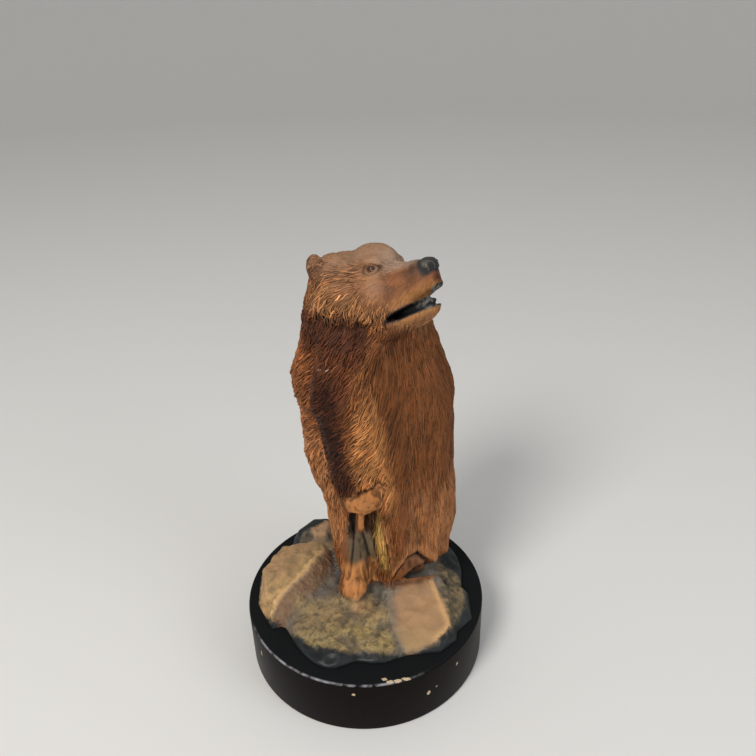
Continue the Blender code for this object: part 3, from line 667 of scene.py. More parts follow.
def apply_modifier(thing, name, kind, **values):
    """Adds a modifier with its values and applies it."""
    select_only(thing)
    modifier = thing.modifiers.new(name, kind)
    for key, value in values.items():
        setattr(modifier, key, value)
    bpy.ops.object.modifier_apply(modifier=modifier.name)


def edit_whole(thing, operator, **values):
    """Runs one operator of edit mode on a whole mesh."""
    select_only(thing)
    bpy.ops.object.mode_set(mode="EDIT")
    bpy.ops.mesh.select_all(action="SELECT")
    operator(**values)
    bpy.ops.object.mode_set(mode="OBJECT")


def edit_faces(thing, chosen, operator, *calls):
    """Selects the faces that pass a test, and runs an operator of edit mode on them once for each call."""
    bpy.ops.object.mode_set(mode="EDIT")
    bpy.ops.mesh.select_mode(type="FACE")
    bpy.ops.mesh.select_all(action="DESELECT")
    bpy.ops.object.mode_set(mode="OBJECT")
    for face in thing.data.polygons:
        face.select = chosen(face)
    bpy.ops.object.mode_set(mode="EDIT")
    for values in calls:
        operator(**values)
    bpy.ops.object.mode_set(mode="OBJECT")


def link_mesh(name, mesh):
    thing = bpy.data.objects.new(name, mesh)
    bpy.context.scene.collection.objects.link(thing)
    return thing


def join(things):
    select_only(*things)
    bpy.ops.object.join()
    return things[0]


def settle_transform(thing):
    select_only(thing)
    bpy.ops.object.transform_apply(location=True, rotation=True, scale=True)


def round_edges(thing, name, width, segments):
    """Rounds the sharp edges of a mesh."""
    sharp = {"limit_method": "ANGLE", "angle_limit": math.radians(60)}
    apply_modifier(thing, name, "BEVEL", width=width, segments=segments, **sharp)


def add_cylinder(name, sides, radius, depth, low):
    """A closed cylinder standing at a height."""
    bpy.ops.object.select_all(action="DESELECT")
    bpy.ops.mesh.primitive_cylinder_add(
        vertices=sides, radius=radius, depth=depth, location=(0, 0, low + depth / 2), end_fill_type="NGON",
    )
    thing = bpy.context.active_object
    thing.name = thing.data.name = name
    settle_transform(thing)
    return thing


def read_points(mesh):
    points = np.empty(len(mesh.vertices) * 3)
    mesh.vertices.foreach_get("co", points)
    return points.reshape(-1, 3) / MM


def read_normals(mesh):
    normals = np.empty(len(mesh.vertices) * 3, np.float32)
    mesh.vertex_normals.foreach_get("vector", normals)
    return normals.reshape(-1, 3).astype(float)


def write_points(mesh, points):
    mesh.vertices.foreach_set("co", (points * MM).astype(np.float32).ravel())
    mesh.update()


def write_attribute(mesh, name, kind, values):
    attribute = mesh.attributes.new(name, kind, "POINT")
    if kind == "FLOAT_COLOR":
        values = np.concatenate([values, np.ones((len(values), 1))], axis=1)
        attribute.data.foreach_set("color", values.astype(np.float32).ravel())
    else:
        attribute.data.foreach_set("value", values.astype(np.float32))


def neighbour_mean(mesh, values, rounds):
    """Averages values over neighbouring points, a number of times."""
    ends = np.empty(len(mesh.edges) * 2, np.int64)
    mesh.edges.foreach_get("vertices", ends)
    first, second = ends.reshape(-1, 2).T
    count = np.bincount(ends, minlength=len(values))[:, None] + 1.0
    for _ in range(rounds):
        total = values.copy()
        for column in range(values.shape[1]):
            total[:, column] += np.bincount(first, values[second, column], len(values))
            total[:, column] += np.bincount(second, values[first, column], len(values))
        values = total / count
    return values


def add_mass(placed, segments=48):
    """A rounded mass from its matrix, whose scale holds the radii, in millimetres."""
    place, turn, radii = placed.decompose()
    bpy.ops.mesh.primitive_uv_sphere_add(
        segments=segments, ring_count=segments * 2 // 3, radius=1.0,
        location=place * MM, rotation=turn.to_euler(), scale=radii * MM,
    )
    return bpy.context.active_object


def mass_matrix(base, centre, radii, tilt=0.0, turn=0.0, grown=0.0):
    return (
        base
        @ Matrix.Translation(centre)
        @ Matrix.Rotation(math.radians(turn), 4, "Z")
        @ Matrix.Rotation(math.radians(-tilt), 4, "Y")
        @ Matrix.Diagonal((*[r + grown for r in radii], 1.0))
    )


def mirrored(centre, turn, side):
    return (centre[0], centre[1] * side, centre[2]), turn * side


def head_masses():
    """Matrices of all the rounded masses that make the head and the paw."""
    head, grown = head_matrix(), 0.12
    placed = [mass_matrix(head, *mass, grown=grown) for mass in HEAD_MASSES]
    for side in (-1, 1):
        for centre, radii, tilt, turn in PAIRED_MASSES:
            centre, turn = mirrored(centre, turn, side)
            placed.append(mass_matrix(head, centre, radii, tilt, turn, grown))
        for centre, radii, tilt, turn in EAR_MASSES:
            centre, turn = mirrored(centre, turn, side)
            lowered = (centre[0], centre[1], centre[2] - (FAR_EAR_DROP if side > 0 else 0.0))
            placed.append(mass_matrix(head, lowered, radii, tilt, turn, grown))
    plain = Matrix.Identity(4)
    return placed + [mass_matrix(plain, *mass, grown=grown) for mass in PAW_MASSES]


def add_mouth_cutter():
    """A wedge through the muzzle, narrow at the hinge of the jaw and open at the lips."""
    outline = (
        (MOUTH_HINGE[0], MOUTH_HINGE[1] - MOUTH_GAPE_IN), (MOUTH_TIP[0], MOUTH_TIP[1] - MOUTH_GAPE_OUT),
        LIP_TIP, LIP_BEND, (MOUTH_HINGE[0], MOUTH_HINGE[1] + MOUTH_GAPE_IN),
    )
    count = len(outline)
    head = head_matrix()
    corners = [
        head @ Vector((x, y, z)) * MM for y in (-MOUTH_HALF_WIDTH, MOUTH_HALF_WIDTH) for x, z in outline
    ]
    sides = [(i, (i + 1) % count, (i + 1) % count + count, i + count) for i in range(count)]
    mesh = bpy.data.meshes.new("mouth_cutter")
    ends = [tuple(reversed(range(count))), tuple(range(count, 2 * count))]
    mesh.from_pydata(corners, [], [*ends, *sides])
    cutter = link_mesh("mouth_cutter", mesh)
    edit_whole(cutter, bpy.ops.mesh.normals_make_consistent, inside=False)
    return cutter


def add_rocks():
    """The crisp rocks, each the hull of its corners."""
    rocks = []
    for corners in ROCKS:
        low = [(x, y, SEAT - 1) for x, y, z in corners if z < SEAT + 3]
        mesh = bpy.data.meshes.new("rock")
        mesh.from_pydata([Vector(corner) * MM for corner in (*corners, *low)], [], [])
        rocks.append(link_mesh("rock", mesh))
        edit_whole(rocks[-1], bpy.ops.mesh.convex_hull)
    return rocks


def copy_of_node(node, name):
    """A copy of a CAD node's mesh with its loose triangles merged."""
    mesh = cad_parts[node].data.copy()
    mesh.name = name
    mesh.materials.clear()
    thing = link_mesh(name, mesh)
    edit_whole(thing, bpy.ops.mesh.remove_doubles, threshold=0.02 * MM)
    return thing


def model_figure():
    """The whole casting as one smooth closed form, before its coat and rocks are carved."""
    figure = copy_of_node(CASTING_NODE, "bear_figure")
    join([figure] + [add_mass(placed) for placed in head_masses()] + add_rocks())
    apply_modifier(figure, "Blend", "REMESH", mode="VOXEL", voxel_size=COARSE_VOXEL * MM)
    cutter = add_mouth_cutter()
    apply_modifier(figure, "Mouth", "BOOLEAN", operation="DIFFERENCE", solver="MANIFOLD", object=cutter)
    bpy.data.objects.remove(cutter)
    tongue = add_mass(mass_matrix(head_matrix(), *TONGUE))
    join([figure, tongue])
    apply_modifier(figure, "Fine", "REMESH", mode="VOXEL", voxel_size=FINE_VOXEL * MM)
    apply_modifier(figure, "Soften", "SMOOTH", factor=0.5, iterations=6)
    return figure


def carve_face(places):
    """How far the face's small forms stand out of the masses, in millimetres."""
    p = places
    eye, beside = p.eye()
    out = beside * (-1.15 * near(eye, 0, 1.4) + 0.30 * near(eye, 1.75, 0.4) - 0.40 * near(eye, 2.35, 0.45))
    out += beside * 0.55 * near(p.hx, 19.5, 3.6) * near(p.hz, 2.0, 1.1)
    out -= 0.5 * near(p.hx, 24.2, 0.9) * near(p.hz, -2.6, 0.9) * beside
    cheek = noise(p.head_points / (7, 6, 5), 54)
    out += 0.35 * cheek * p.head * (1 - p.nose) * fade(26 - p.hx, 6)
    out -= 0.45 * near(p.hz, -5.2, 1.6) * near(p.hx, 29, 6) * p.head
    out -= 0.35 * near(p.hy, 0, 0.7) * fade(p.hx - 41, 1) * fade(p.hz + 12, 1) * fade(-6 - p.hz, 1)
    ear_height = 3.6 - FAR_EAR_DROP * (p.hy > 0)
    ear = near(p.hx, 0.8, 2.0) * near(np.abs(p.hy), 14.8, 2.0) * near(p.hz, ear_height, 2.4)
    out -= 0.5 * ear * p.head
    edge = p.above_ruff + 2.4 * noise(p.points / 3.0, 55)
    out += 0.5 * p.ruff * fade(4.0 - edge, 3.0)
    under = near(edge, -2.2, 1.8) * fade(22 - p.hx, 4) * fade(p.z - 160, 5) * fade(np.abs(p.hy) - 5, 3)
    return out - 0.7 * under


def carve_coat(places):
    """Long soft grooves of the coat below its locks."""
    p = places
    lean = 0.50 * p.shoulder + 0.12 * fade(-70 - p.angle, 20)
    sway = 2.0 * noise(p.points / (14, 14, 26), 61)
    across = np.stack([p.x - lean * (p.z - 140) + sway, p.y + sway, p.z / 11], axis=1)
    ridge = 0.5 - 2.0 * np.abs(noise(across / 3.2, 62))
    fine = 0.5 - 2.0 * np.abs(noise(across / 1.6, 63))
    out = (0.36 * ridge + 0.16 * fine) * (1 - 0.55 * p.chest) * (1 - p.head) * p.coat * (1 - lobe_mask(p))
    from_tip = p.head_points - MUZZLE_TIP
    reach = np.linalg.norm(from_tip, axis=1)
    place = np.concatenate([unit(from_tip) * 24, (reach / 9)[:, None]], axis=1)
    strands = 0.5 - 2.0 * np.abs(noise(place[:, :3] + (place[:, 3:] * (0.31, 0.17, 0.23)), 64))
    return out + 0.20 * strands * p.head * (1 - 0.7 * p.short) * (1 - p.nose) * (1 - p.mouth)


def carve_front(places):
    """The torn edge of the arm's coat, the paw below it, the hollows beside its tab and the hem's fold."""
    p = places
    front = fade(-6 - p.y, 3)
    jag = noise(p.points / (1.6, 6, 6), 71)
    edge = torn_edge(p) + 0.6 * jag
    band = near(p.x, 2.2, 8.0) * front
    out = 0.8 * band * near(p.z, edge + 1.6, 1.8) - 1.7 * band * near(p.z, edge - 0.6, 0.8)
    out -= 2.6 * hollow_mask(p)
    out += lobe_mask(p) * (0.32 * noise(p.points / 1.9, 72) + 0.14 * noise(p.points / 0.8, 73))
    strand_x = strand_offset(p)
    low = near(p.z, 68, 12) * front
    strand = 0.9 * near(strand_x, 0, 1.8) - 1.0 * near(strand_x, -2.6, 0.7) - 0.8 * near(strand_x, 2.6, 0.6)
    out += low * strand
    out -= low * 0.7 * (near(p.x, -4.6 + 0.15 * (p.z - 68), 0.6) + near(p.x, 0.9 - 0.2 * (p.z - 66), 0.6))
    fold = 0.9 * near(p.z, p.hem + 2.2, 2.2) - 1.8 * near(p.z, p.hem - 1.4, 1.5) * fade(p.x - 13, 3)
    out += p.at_hem * fold
    chest = near(p.angle, p.edge_angle + 4, 2.4) * fade(p.z - 125, 8) * fade(160 - p.z, 5) * (1 - p.head)
    return out * p.coat - 0.5 * chest


def carve_ground(places, up):
    """Pits, creases and moss of the rocks. The black skirt stays smooth."""
    p = places
    mid, fine = noise(p.points / 2.4, 32), noise(p.points / 0.9, 33)
    rock = (1 - p.coat) * (1 - skirt_mask(p, mid, fine)) * fade(p.z - 30.2, 0.8)
    slab = fade(inside_outline(p, SLAB_OUTLINE) + 0.5, 1.0)
    away, share, boulder = boulder_places(p)
    crease = np.abs(noise(p.points / (6, 6, 5), 81)) + 0.4 * np.abs(noise(p.points / 2.6, 82)) - 0.4
    streaks = noise(p.points * (0.75, 0.75, 0.10), 34)
    pits = -np.maximum(0, noise(p.points / 1.3, 83) - 0.35)
    out = 0.60 * (1 - slab) * crease + (0.9 - 0.6 * slab) * pits + 0.12 * noise(p.points / 0.75, 86)
    ridge = 0.6 * near(away + 1.2 * mid, 0.3, 1.7) * fade(share + 0.1, 0.1)
    out += boulder * (0.55 * noise(p.points / 4.6, 87) + ridge + 0.35 * streaks * fade(away - 2, 1))
    out += 0.35 * slab * near(along_line(p, SLAB_EDGE), 0, 1.2)
    moss = fade(p.x + 33, 4) * fade(13 - p.x, 3) * fade(-13 - p.y, 4)
    moss = moss + fade(p.x - 36, 2) * fade(11 - p.y, 4)
    clumps = noise(p.points / 2.6, 84) + 0.5 * noise(p.points / 0.9, 85)
    out += 0.18 * np.clip(moss, 0, 1) * clumps * fade(up - 0.1, 0.2)
    pinnacle = near(np.hypot((p.x + 5.0) / 2.2, (p.y + 18.5) / 3.4), 0, 1.0)
    return rock * out + 1.1 * pinnacle * (1 - p.coat)


def carve_figure(figure):
    mesh = figure.data
    points, normals = read_points(mesh), read_normals(mesh)
    places = Regions(points)
    up = normals[:, 2]
    out = carve_face(places) + carve_coat(places) + carve_front(places) + carve_ground(places, up)
    out *= fade(points[:, 2] - SEAT - 0.5, 0.5)
    write_points(mesh, points + normals * out[:, None])


def thin_out(figure):
    faces = sum(len(face.vertices) - 2 for face in figure.data.polygons)
    apply_modifier(figure, "Thin out", "DECIMATE", ratio=min(1.0, FIGURE_TRIANGLES / faces))


def keep_above_plinth(mesh):
    """No point of the casting reaches below its own seat."""
    points = read_points(mesh)
    points[:, 2] = np.maximum(points[:, 2], SEAT)
    write_points(mesh, points)


def paint_figure(figure, settings):
    """Stores the casting's colours, with the wash in its grooves and the brushed crests."""
    mesh = figure.data
    points, normals = read_points(mesh), read_normals(mesh)
    colours, skirt, places = paint_casting(points)
    raised = ((points - neighbour_mean(mesh, points, 6)) * normals).sum(axis=1)
    _, _, boulder = boulder_places(places)
    plain = np.maximum(fade(inside_outline(places, SLAB_OUTLINE), 1.0), 0.6 * boulder) * (1 - places.coat)
    groove, crest = (fade(side * raised - 0.03, 0.10) * (1 - plain) for side in (-1, 1))
    coat = np.maximum(places.coat, places.head) * (1 - places.nose)
    washed = settings.wash * groove * (0.35 + 0.65 * coat) * (1 - 0.5 * places.short)
    tone = 1 - washed + settings.dry_brush * crest * (0.6 + 0.4 * coat)
    tone *= 1 - 0.38 * coat * (1 - 0.75 * places.short) * (1 - 0.45 * places.chest)
    colours *= tone[:, None]
    write_attribute(mesh, "paint", "FLOAT_COLOR", colours)
    write_attribute(mesh, "gloss", "FLOAT", np.maximum(skirt, places.mouth))


def scatter(mesh, count, weigh, seed):
    """Random points over the mesh, in millimetres, thicker where weigh gives more."""
    mesh.calc_loop_triangles()
    corners = np.empty(len(mesh.loop_triangles) * 3, np.int64)
    mesh.loop_triangles.foreach_get("vertices", corners)
    corners = corners.reshape(-1, 3)
    points, normals = read_points(mesh), read_normals(mesh)
    a, b, c = (points[corners[:, i]] for i in range(3))
    area = np.linalg.norm(np.cross(b - a, c - a), axis=1) / 2
    weight = area * weigh(Regions((a + b + c) / 3))
    chance = np.random.default_rng(seed)
    picked = chance.choice(len(weight), size=count, p=weight / weight.sum())
    u, v = chance.random((2, count))
    over = u + v > 1
    u[over], v[over] = 1 - u[over], 1 - v[over]
    share = np.stack([1 - u - v, u, v], axis=1)[:, :, None]
    chosen = corners[picked]
    return (points[chosen] * share).sum(axis=1), unit((normals[chosen] * share).sum(axis=1))


def spread_out(points, spacing, limit):
    """Keeps one point for each cell of the spacing, and the first ones up to the limit."""
    cells = np.floor(points / spacing[:, None]).astype(np.int64)
    _, first = np.unique(cells, axis=0, return_index=True)
    return np.sort(first)[:limit]


class Locks:
    """Sizes of a set of locks, one value each, in millimetres and degrees."""

    KEYS = ("length", "width", "height", "lift", "curl", "wave", "phase", "bold")

    def __init__(self, *sizes):
        for key, values in zip(self.KEYS, sizes):
            setattr(self, key, values)

    def some(self, kept):
        return Locks(*[getattr(self, key)[kept] for key in self.KEYS])


# Light flecks of bare resin, at their x and z
FLECKS = ((-14.3, 160.0), (-11.1, 160.5), (-2.2, 110.0), (-0.6, 109.2))
FLECK_WHITE = (0.62, 0.58, 0.50)
LOCK_STATIONS = 7
MOST_ON_PAW = 0.6
# Breadth, height and tone of a lock at each station from root to tip
LOCK_TAPER = (0.0, 0.78, 1.0, 1.0, 0.86, 0.55, 0.0)
LOCK_RISE = (-0.25, 0.60, 0.95, 1.0, 0.95, 0.75, 0.15)
LOCK_TONE_RIDGE = (0.60, 1.00, 1.22, 1.32, 1.38, 1.42, 1.25)
LOCK_TONE_SIDE = (0.50, 0.42, 0.40, 0.40, 0.44, 0.55, 0.9)


def turned(vectors, axes, degrees):
    angle = np.radians(degrees)[:, None]
    return vectors * np.cos(angle) + np.cross(axes, vectors) * np.sin(angle)


def comb(tree, roots, normals, locks):
    """Follows each lock over the surface. Gives its points, normals and directions at each station."""
    here, out = roots, normals
    stations = []
    for station in range(LOCK_STATIONS):
        along = coat_flow(Regions(here), out)
        share = station / (LOCK_STATIONS - 1)
        bend = locks.curl * share + locks.wave * np.sin(2 * math.pi * (share + locks.phase))
        along = turned(along, out, bend)
        stations.append((here, out, along))
        ahead = here + along * (locks.length / (LOCK_STATIONS - 1))[:, None]
        found = [tree.find_nearest(Vector(point)) for point in ahead]
        here = np.array([hit[0] for hit in found])
        out = unit(0.5 * out + 0.5 * np.array([hit[1] for hit in found]))
    return stations


def lock_mesh(name, stations, locks, colours):
    """One closed, three-sided, tapering form for each lock, with a light ridge and dark sides."""
    count = len(locks.length)
    points, tints = [], []
    for station, (here, out, along) in enumerate(stations):
        share = station / (LOCK_STATIONS - 1)
        side = np.cross(out, along) * (locks.width / 2 * LOCK_TAPER[station])[:, None]
        base = here + out * (locks.lift * share**2 - 0.10)[:, None]
        ridge = base + out * (locks.height * LOCK_RISE[station] + 0.10)[:, None]
        if station in (0, LOCK_STATIONS - 1):
            points.append(ridge[:, None])
            tints.append((colours * (1 + locks.bold * (LOCK_TONE_RIDGE[station] - 1))[:, None])[:, None])
            continue
        points.append(np.stack([base + side, ridge, base - side], axis=1))
        dark = colours * (1 + locks.bold * (LOCK_TONE_SIDE[station] - 1))[:, None]
        light = colours * (1 + locks.bold * (LOCK_TONE_RIDGE[station] - 1))[:, None]
        tints.append(np.stack([dark, light, dark], axis=1))
    points, tints = np.concatenate(points, axis=1), np.concatenate(tints, axis=1)
    faces = lock_faces()
    size = points.shape[1]
    shift = (np.arange(count) * size)[:, None, None]
    triangles = (np.array(faces)[None] + shift).reshape(-1, 3)
    mesh = bpy.data.meshes.new(name)
    mesh.from_pydata((points.reshape(-1, 3) * MM).tolist(), [], triangles.tolist())
    mesh.update()
    tints, (x, y, z) = tints.reshape(-1, 3), points.reshape(-1, 3).T
    for fleck_x, fleck_z in FLECKS:
        lay(tints, FLECK_WHITE, fade(0.36 - np.hypot(x - fleck_x, z - fleck_z), 0.1) * (y < 0))
    write_attribute(mesh, "paint", "FLOAT_COLOR", tints)
    mesh.shade_smooth()
    return mesh


def lock_faces():
    """Triangles of one lock. Its points run root, left, ridge and right of each station, tip."""
    middle = LOCK_STATIONS - 2
    tip = 1 + 3 * middle
    faces = []
    for edge in range(3):
        after = (edge + 1) % 3
        faces.append((0, 1 + after, 1 + edge))
        last = tip - 3
        faces.append((last + edge, last + after, tip))
        for station in range(middle - 1):
            a, b = 1 + 3 * station + edge, 1 + 3 * station + after
            faces += [(a, b, b + 3), (a, b + 3, a + 3)]
    return faces


def add_coat(name, figure, count, weigh, measure, seed):
    """Carves a set of locks over part of the figure, as one piece."""
    mesh = figure.data
    points, normals = scatter(mesh, int(count * 1.5), weigh, seed)
    chance = np.random.default_rng(seed + 1)
    places = Regions(points)
    locks, spacing = measure(places, chance)
    kept = spread_out(points, spacing, count)
    locks = locks.some(kept)
    points, normals = points[kept], normals[kept]
    tree = BVHTree.FromPolygons(read_points(mesh).tolist(), [list(face.vertices) for face in mesh.polygons])
    stations = comb(tree, points, normals, locks)
    clear = np.max([lobe_mask(Regions(here)) for here, _, _ in stations[2:]], axis=0) < MOST_ON_PAW
    stations = [tuple(part[clear] for part in station) for station in stations]
    locks = locks.some(clear)
    colours, _, _ = paint_casting(stations[LOCK_STATIONS // 2][0])
    tone = np.exp(chance.normal(-0.03, 0.25, len(colours)) * locks.bold)[:, None]
    warm = chance.normal(0, 0.06, len(colours))[:, None]
    colours = colours * tone * (1 + warm * (1, 0, -1))
    return link_mesh(name, lock_mesh(name, stations, locks, colours))


def bare_face(places):
    """Where no hair grows: the nose, the lips and mouth, and the eyes."""
    p = places
    eye, beside = p.eye()
    return np.clip(p.nose + p.mouth + fade(2.1 - eye, 0.3) * beside, 0, 1)


BACK_BREADTH = 1.35


def weigh_body(places):
    p = places
    toe = fade(8 - np.abs(p.x + 2), 1) * fade(84 - p.z, 3) * fade(-6 - p.y, 3)
    bare = np.clip(1.2 * lobe_mask(p) + toe + hollow_mask(p), 0, 1)
    return p.coat * (1 - p.head) * (1 - bare) * fade(p.z - p.hem * p.at_hem - 3, 1)


def weigh_front(places):
    return weigh_body(places) * fade(7 - places.y, 3)


def weigh_back(places):
    return weigh_body(places) * fade(places.y - 7, 3)


def measure_back(places, chance):
    """The back is finished with the same locks as the front, but broader."""
    locks, spacing = measure_body(places, chance)
    locks.width *= BACK_BREADTH
    locks.length *= BACK_BREADTH
    return locks, spacing


def measure_body(places, chance):
    p, settings = places, bpy.context.scene.bear_casting
    count = len(p.x)
    chest = p.chest
    length = settings.lock_length / MM * (1 - 0.25 * p.shoulder + 0.20 * chest)
    length *= chance.uniform(0.7, 1.25, count)
    length *= 1 - 0.40 * fade(66 - p.z, 8)
    over_paw = (np.abs(p.x - 1.5) < 10.5) & (p.y < -4) & (p.z > torn_edge(p) - 1)
    length = np.where(over_paw, np.clip(p.z - torn_edge(p) + 0.8, 1.5, length), length)
    width = settings.lock_width / MM * chance.uniform(0.55, 1.3, count)
    width *= 1 + 0.10 * p.shoulder - 0.30 * chest
    height = settings.lock_height / MM * (1 + 0.30 * p.shoulder - 0.35 * chest)
    height *= chance.uniform(0.6, 1.3, count)
    lift = (0.10 + 0.30 * p.shoulder) * chance.uniform(0.2, 1.6, count)
    curl = chance.normal(0, 1, count) * (6 + 9 * p.shoulder)
    wave = chance.uniform(0.4, 1, count) * (6 + 9 * p.shoulder)
    bold = 1.05 + 0.15 * p.shoulder - 0.28 * chest
    return Locks(length, width, height, lift, curl, wave, chance.random(count), bold), np.full(count, 1.0)


def weigh_head(places):
    p = places
    return p.head * (1 - bare_face(p)) * (0.50 + 0.25 * p.ruff + 2.2 * p.short + 0.9 * p.ear)


def measure_head(places, chance):
    p = places
    count = len(p.x)
    medium = 1 - p.short
    length = (2.1 + 2.4 * medium + 2.6 * p.ruff - 2.0 * p.ear) * chance.uniform(0.7, 1.3, count)
    width = (0.36 + 0.30 * medium + 0.26 * p.ruff) * chance.uniform(0.6, 1.25, count)
    height = (0.10 + 0.22 * medium + 0.22 * p.ruff) * chance.uniform(0.6, 1.3, count)
    lift = (0.02 + 0.15 * medium + 0.55 * p.ruff) * chance.uniform(0.1, 1.6, count)
    curl = chance.normal(0, 1, count) * (5 + 8 * medium + 14 * p.ruff)
    wave = chance.uniform(0.4, 1, count) * (3 + 9 * medium + 16 * p.ruff)
    forehead = p.short * fade(p.hz - 0.5, 2)
    bold = 0.85 + 0.50 * medium + 0.35 * p.ruff - 0.40 * forehead + 0.3 * p.ear
    return Locks(length, width, height, lift, curl, wave, chance.random(count), bold), 0.40 + 0.30 * medium


EYE_GREY = (0.200, 0.150, 0.105)
IRIS_BROWN = (0.250, 0.165, 0.115)
IRIS_RING = (0.045, 0.030, 0.020)
PUPIL_BLACK = (0.006, 0.006, 0.006)
LID_RADIUS, LID_THICKNESS = 1.50, 0.27


def eye_axis(side):
    """Direction that an eye looks, in head coordinates."""
    return Vector((0.42, 0.90 * side, 0.08)).normalized()


def eye_place(side, outward):
    return Vector((EYE[0], (EYE[1] + outward) * side, EYE[2]))


def eye_matrix(side, outward):
    """Eye coordinates, with z the way it looks, to the figure's millimetres."""
    turn = eye_axis(side).to_track_quat("Z", "Y").to_matrix().to_4x4()
    return head_matrix() @ Matrix.Translation(eye_place(side, outward)) @ turn


def add_eyes():
    """Both eyeballs, with painted irises and pupils."""
    balls = []
    for side in (-1, 1):
        balls.append(add_mass(eye_matrix(side, -EYE_DEPTH) @ Matrix.Scale(EYE_RADIUS, 4)))
    for ball in balls:
        settle_transform(ball)
    eyes = join(balls)
    eyes.name = eyes.data.name = "bear_eyes"
    points = to_head(read_points(eyes.data))
    colours = np.tile(np.array(EYE_GREY), (len(points), 1))
    for side in (-1, 1):
        toward = unit(points - np.array(eye_place(side, -EYE_DEPTH))) @ np.array(eye_axis(side))
        away = np.degrees(np.arccos(np.clip(toward, -1, 1)))
        mine = points[:, 1] * side > 0
        lay(colours, IRIS_RING, mine * near(away, 48, 5) * 0.9)
        lay(colours, IRIS_BROWN, mine * fade(45 - away, 4))
        lay(colours, PUPIL_BLACK, mine * fade(24 - away, 3))
    write_attribute(eyes.data, "paint", "FLOAT_COLOR", colours)
    eyes.data.shade_smooth()
    return eyes


def add_lids():
    """A rounded lid round each eye, drawn out to a point at both corners."""
    rings = []
    for side in (-1, 1):
        place, rotation, _ = eye_matrix(side, 0.30).decompose()
        bpy.ops.mesh.primitive_torus_add(
            location=place * MM, rotation=rotation.to_euler(), major_segments=64, minor_segments=14,
            major_radius=LID_RADIUS * MM, minor_radius=LID_THICKNESS * MM,
        )
        rings.append(bpy.context.active_object)
        settle_transform(rings[-1])
    lids = join(rings)
    lids.name = lids.data.name = "bear_eyelids"
    points = to_head(read_points(lids.data))
    ahead = (points[:, 0] - EYE[0]) / LID_RADIUS
    narrow = 0.78 - 0.30 * np.clip(np.abs(ahead), 0, 1) ** 2
    points[:, 2] = EYE[2] + (points[:, 2] - EYE[2]) * narrow - 0.10 * ahead
    points[:, 0] = EYE[0] + ahead * LID_RADIUS * EYE_BREADTH
    write_points(lids.data, points @ head_turn().T + np.array(head_matrix().translation))
    grain = noise(points / 0.7, 91)
    colours = np.tile(np.array(LID_PALE), (len(points), 1)) * (1 + 0.25 * grain[:, None])
    # The upper half of each lid is painted dark: painted shade under the brow
    lay(colours, DARK_BROWN_AND_SHADE, fade(points[:, 2] - EYE[2] - 0.1, 0.3) * 0.95)
    write_attribute(lids.data, "paint", "FLOAT_COLOR", colours)
    lids.data.shade_smooth()
    return lids


def add_nose():
    """The nose pad with its two nostrils."""
    head = head_matrix()
    nose = join([add_mass(mass_matrix(head, *mass)) for mass in NOSE_MASSES])
    nose.name = nose.data.name = "bear_nose"
    settle_transform(nose)
    apply_modifier(nose, "Blend", "REMESH", mode="VOXEL", voxel_size=NOSE_VOXEL * MM)
    apply_modifier(nose, "Soften", "SMOOTH", factor=0.5, iterations=8)
    points, normals = read_points(nose.data), read_normals(nose.data)
    p = to_head(points)
    across = np.abs(p[:, 1])
    nostril = np.hypot((across - 2.6 - 0.25 * (p[:, 2] + 4.4)) / 1.0, (p[:, 2] + 4.5) / 1.35)
    front = fade(p[:, 0] - 39.0, 0.8)
    out = -1.5 * near(nostril, 0, 0.85) * front + 0.22 * near(nostril, 1.5, 0.4) * front
    slit = near(p[:, 2], -5.9 + 0.45 * (across - 2.6), 0.32) * fade(across - 2.2, 0.5) * front
    out -= 0.45 * slit
    out -= 0.3 * near(p[:, 1], 0, 0.35) * fade(p[:, 0] - 41, 0.5) * fade(-3.2 - p[:, 2], 0.5)
    out += 0.05 * noise(points / 0.5, 95)
    write_points(nose.data, points + normals * out[:, None])
    # Darker inside the nostrils: painted shade in their hollows
    tone = 1 + 0.6 * noise(points / 0.8, 96) - 0.6 * near(nostril, 0, 1.0) * front
    colours = np.array(NOSE_SATIN) * np.clip(tone, 0.2, 2)[:, None]
    lay(colours, NOSTRIL_RIM, near(nostril, 1.5, 0.22) * front * 0.45)
    write_attribute(nose.data, "paint", "FLOAT_COLOR", colours)
    nose.data.shade_smooth()
    return nose


def new_material(name):
    material = bpy.data.materials.new(name)
    material.use_nodes = True
    return material, material.node_tree, material.node_tree.nodes["Principled BSDF"]


def add_node(tree, kind, place, **values):
    node = tree.nodes.new(kind)
    node.location = place
    for key, value in values.items():
        setattr(node, key, value)
    return node


def feed(tree, socket, value):
    """Links a socket to another, or gives it a plain value."""
    if isinstance(value, bpy.types.NodeSocket):
        tree.links.new(value, socket)
    else:
        socket.default_value = value


def feed_all(tree, node, values):
    for name, value in values.items():
        feed(tree, node.inputs[name], value)


def math_node(tree, operation, first, second, place, clamp=False):
    node = add_node(tree, "ShaderNodeMath", place, operation=operation, use_clamp=clamp)
    for socket, value in zip(node.inputs, (first, second)):
        feed(tree, socket, value)
    return node.outputs[0]


def above(tree, value, level, slope, place):
    """0 where a value is below a level, 1 well above it, with a slope between."""
    past = math_node(tree, "SUBTRACT", value, level, place)
    return math_node(tree, "MULTIPLY", past, slope, (place[0] + 160, place[1]), clamp=True)


def vector_node(tree, operation, values, place):
    """A vector sum, whose result is a vector for some operations and a number for the others."""
    node = add_node(tree, "ShaderNodeVectorMath", place, operation=operation)
    for socket, value in zip(node.inputs, values):
        feed(tree, socket, value)
    return node.outputs["Value" if operation in ("LENGTH", "DOT_PRODUCT") else "Vector"]


def noise_node(tree, vector, scale, detail, place, roughness=0.5):
    node = add_node(tree, "ShaderNodeTexNoise", place)
    feed_all(tree, node, {"Vector": vector, "Scale": scale, "Detail": detail, "Roughness": roughness})
    return node.outputs["Fac"]


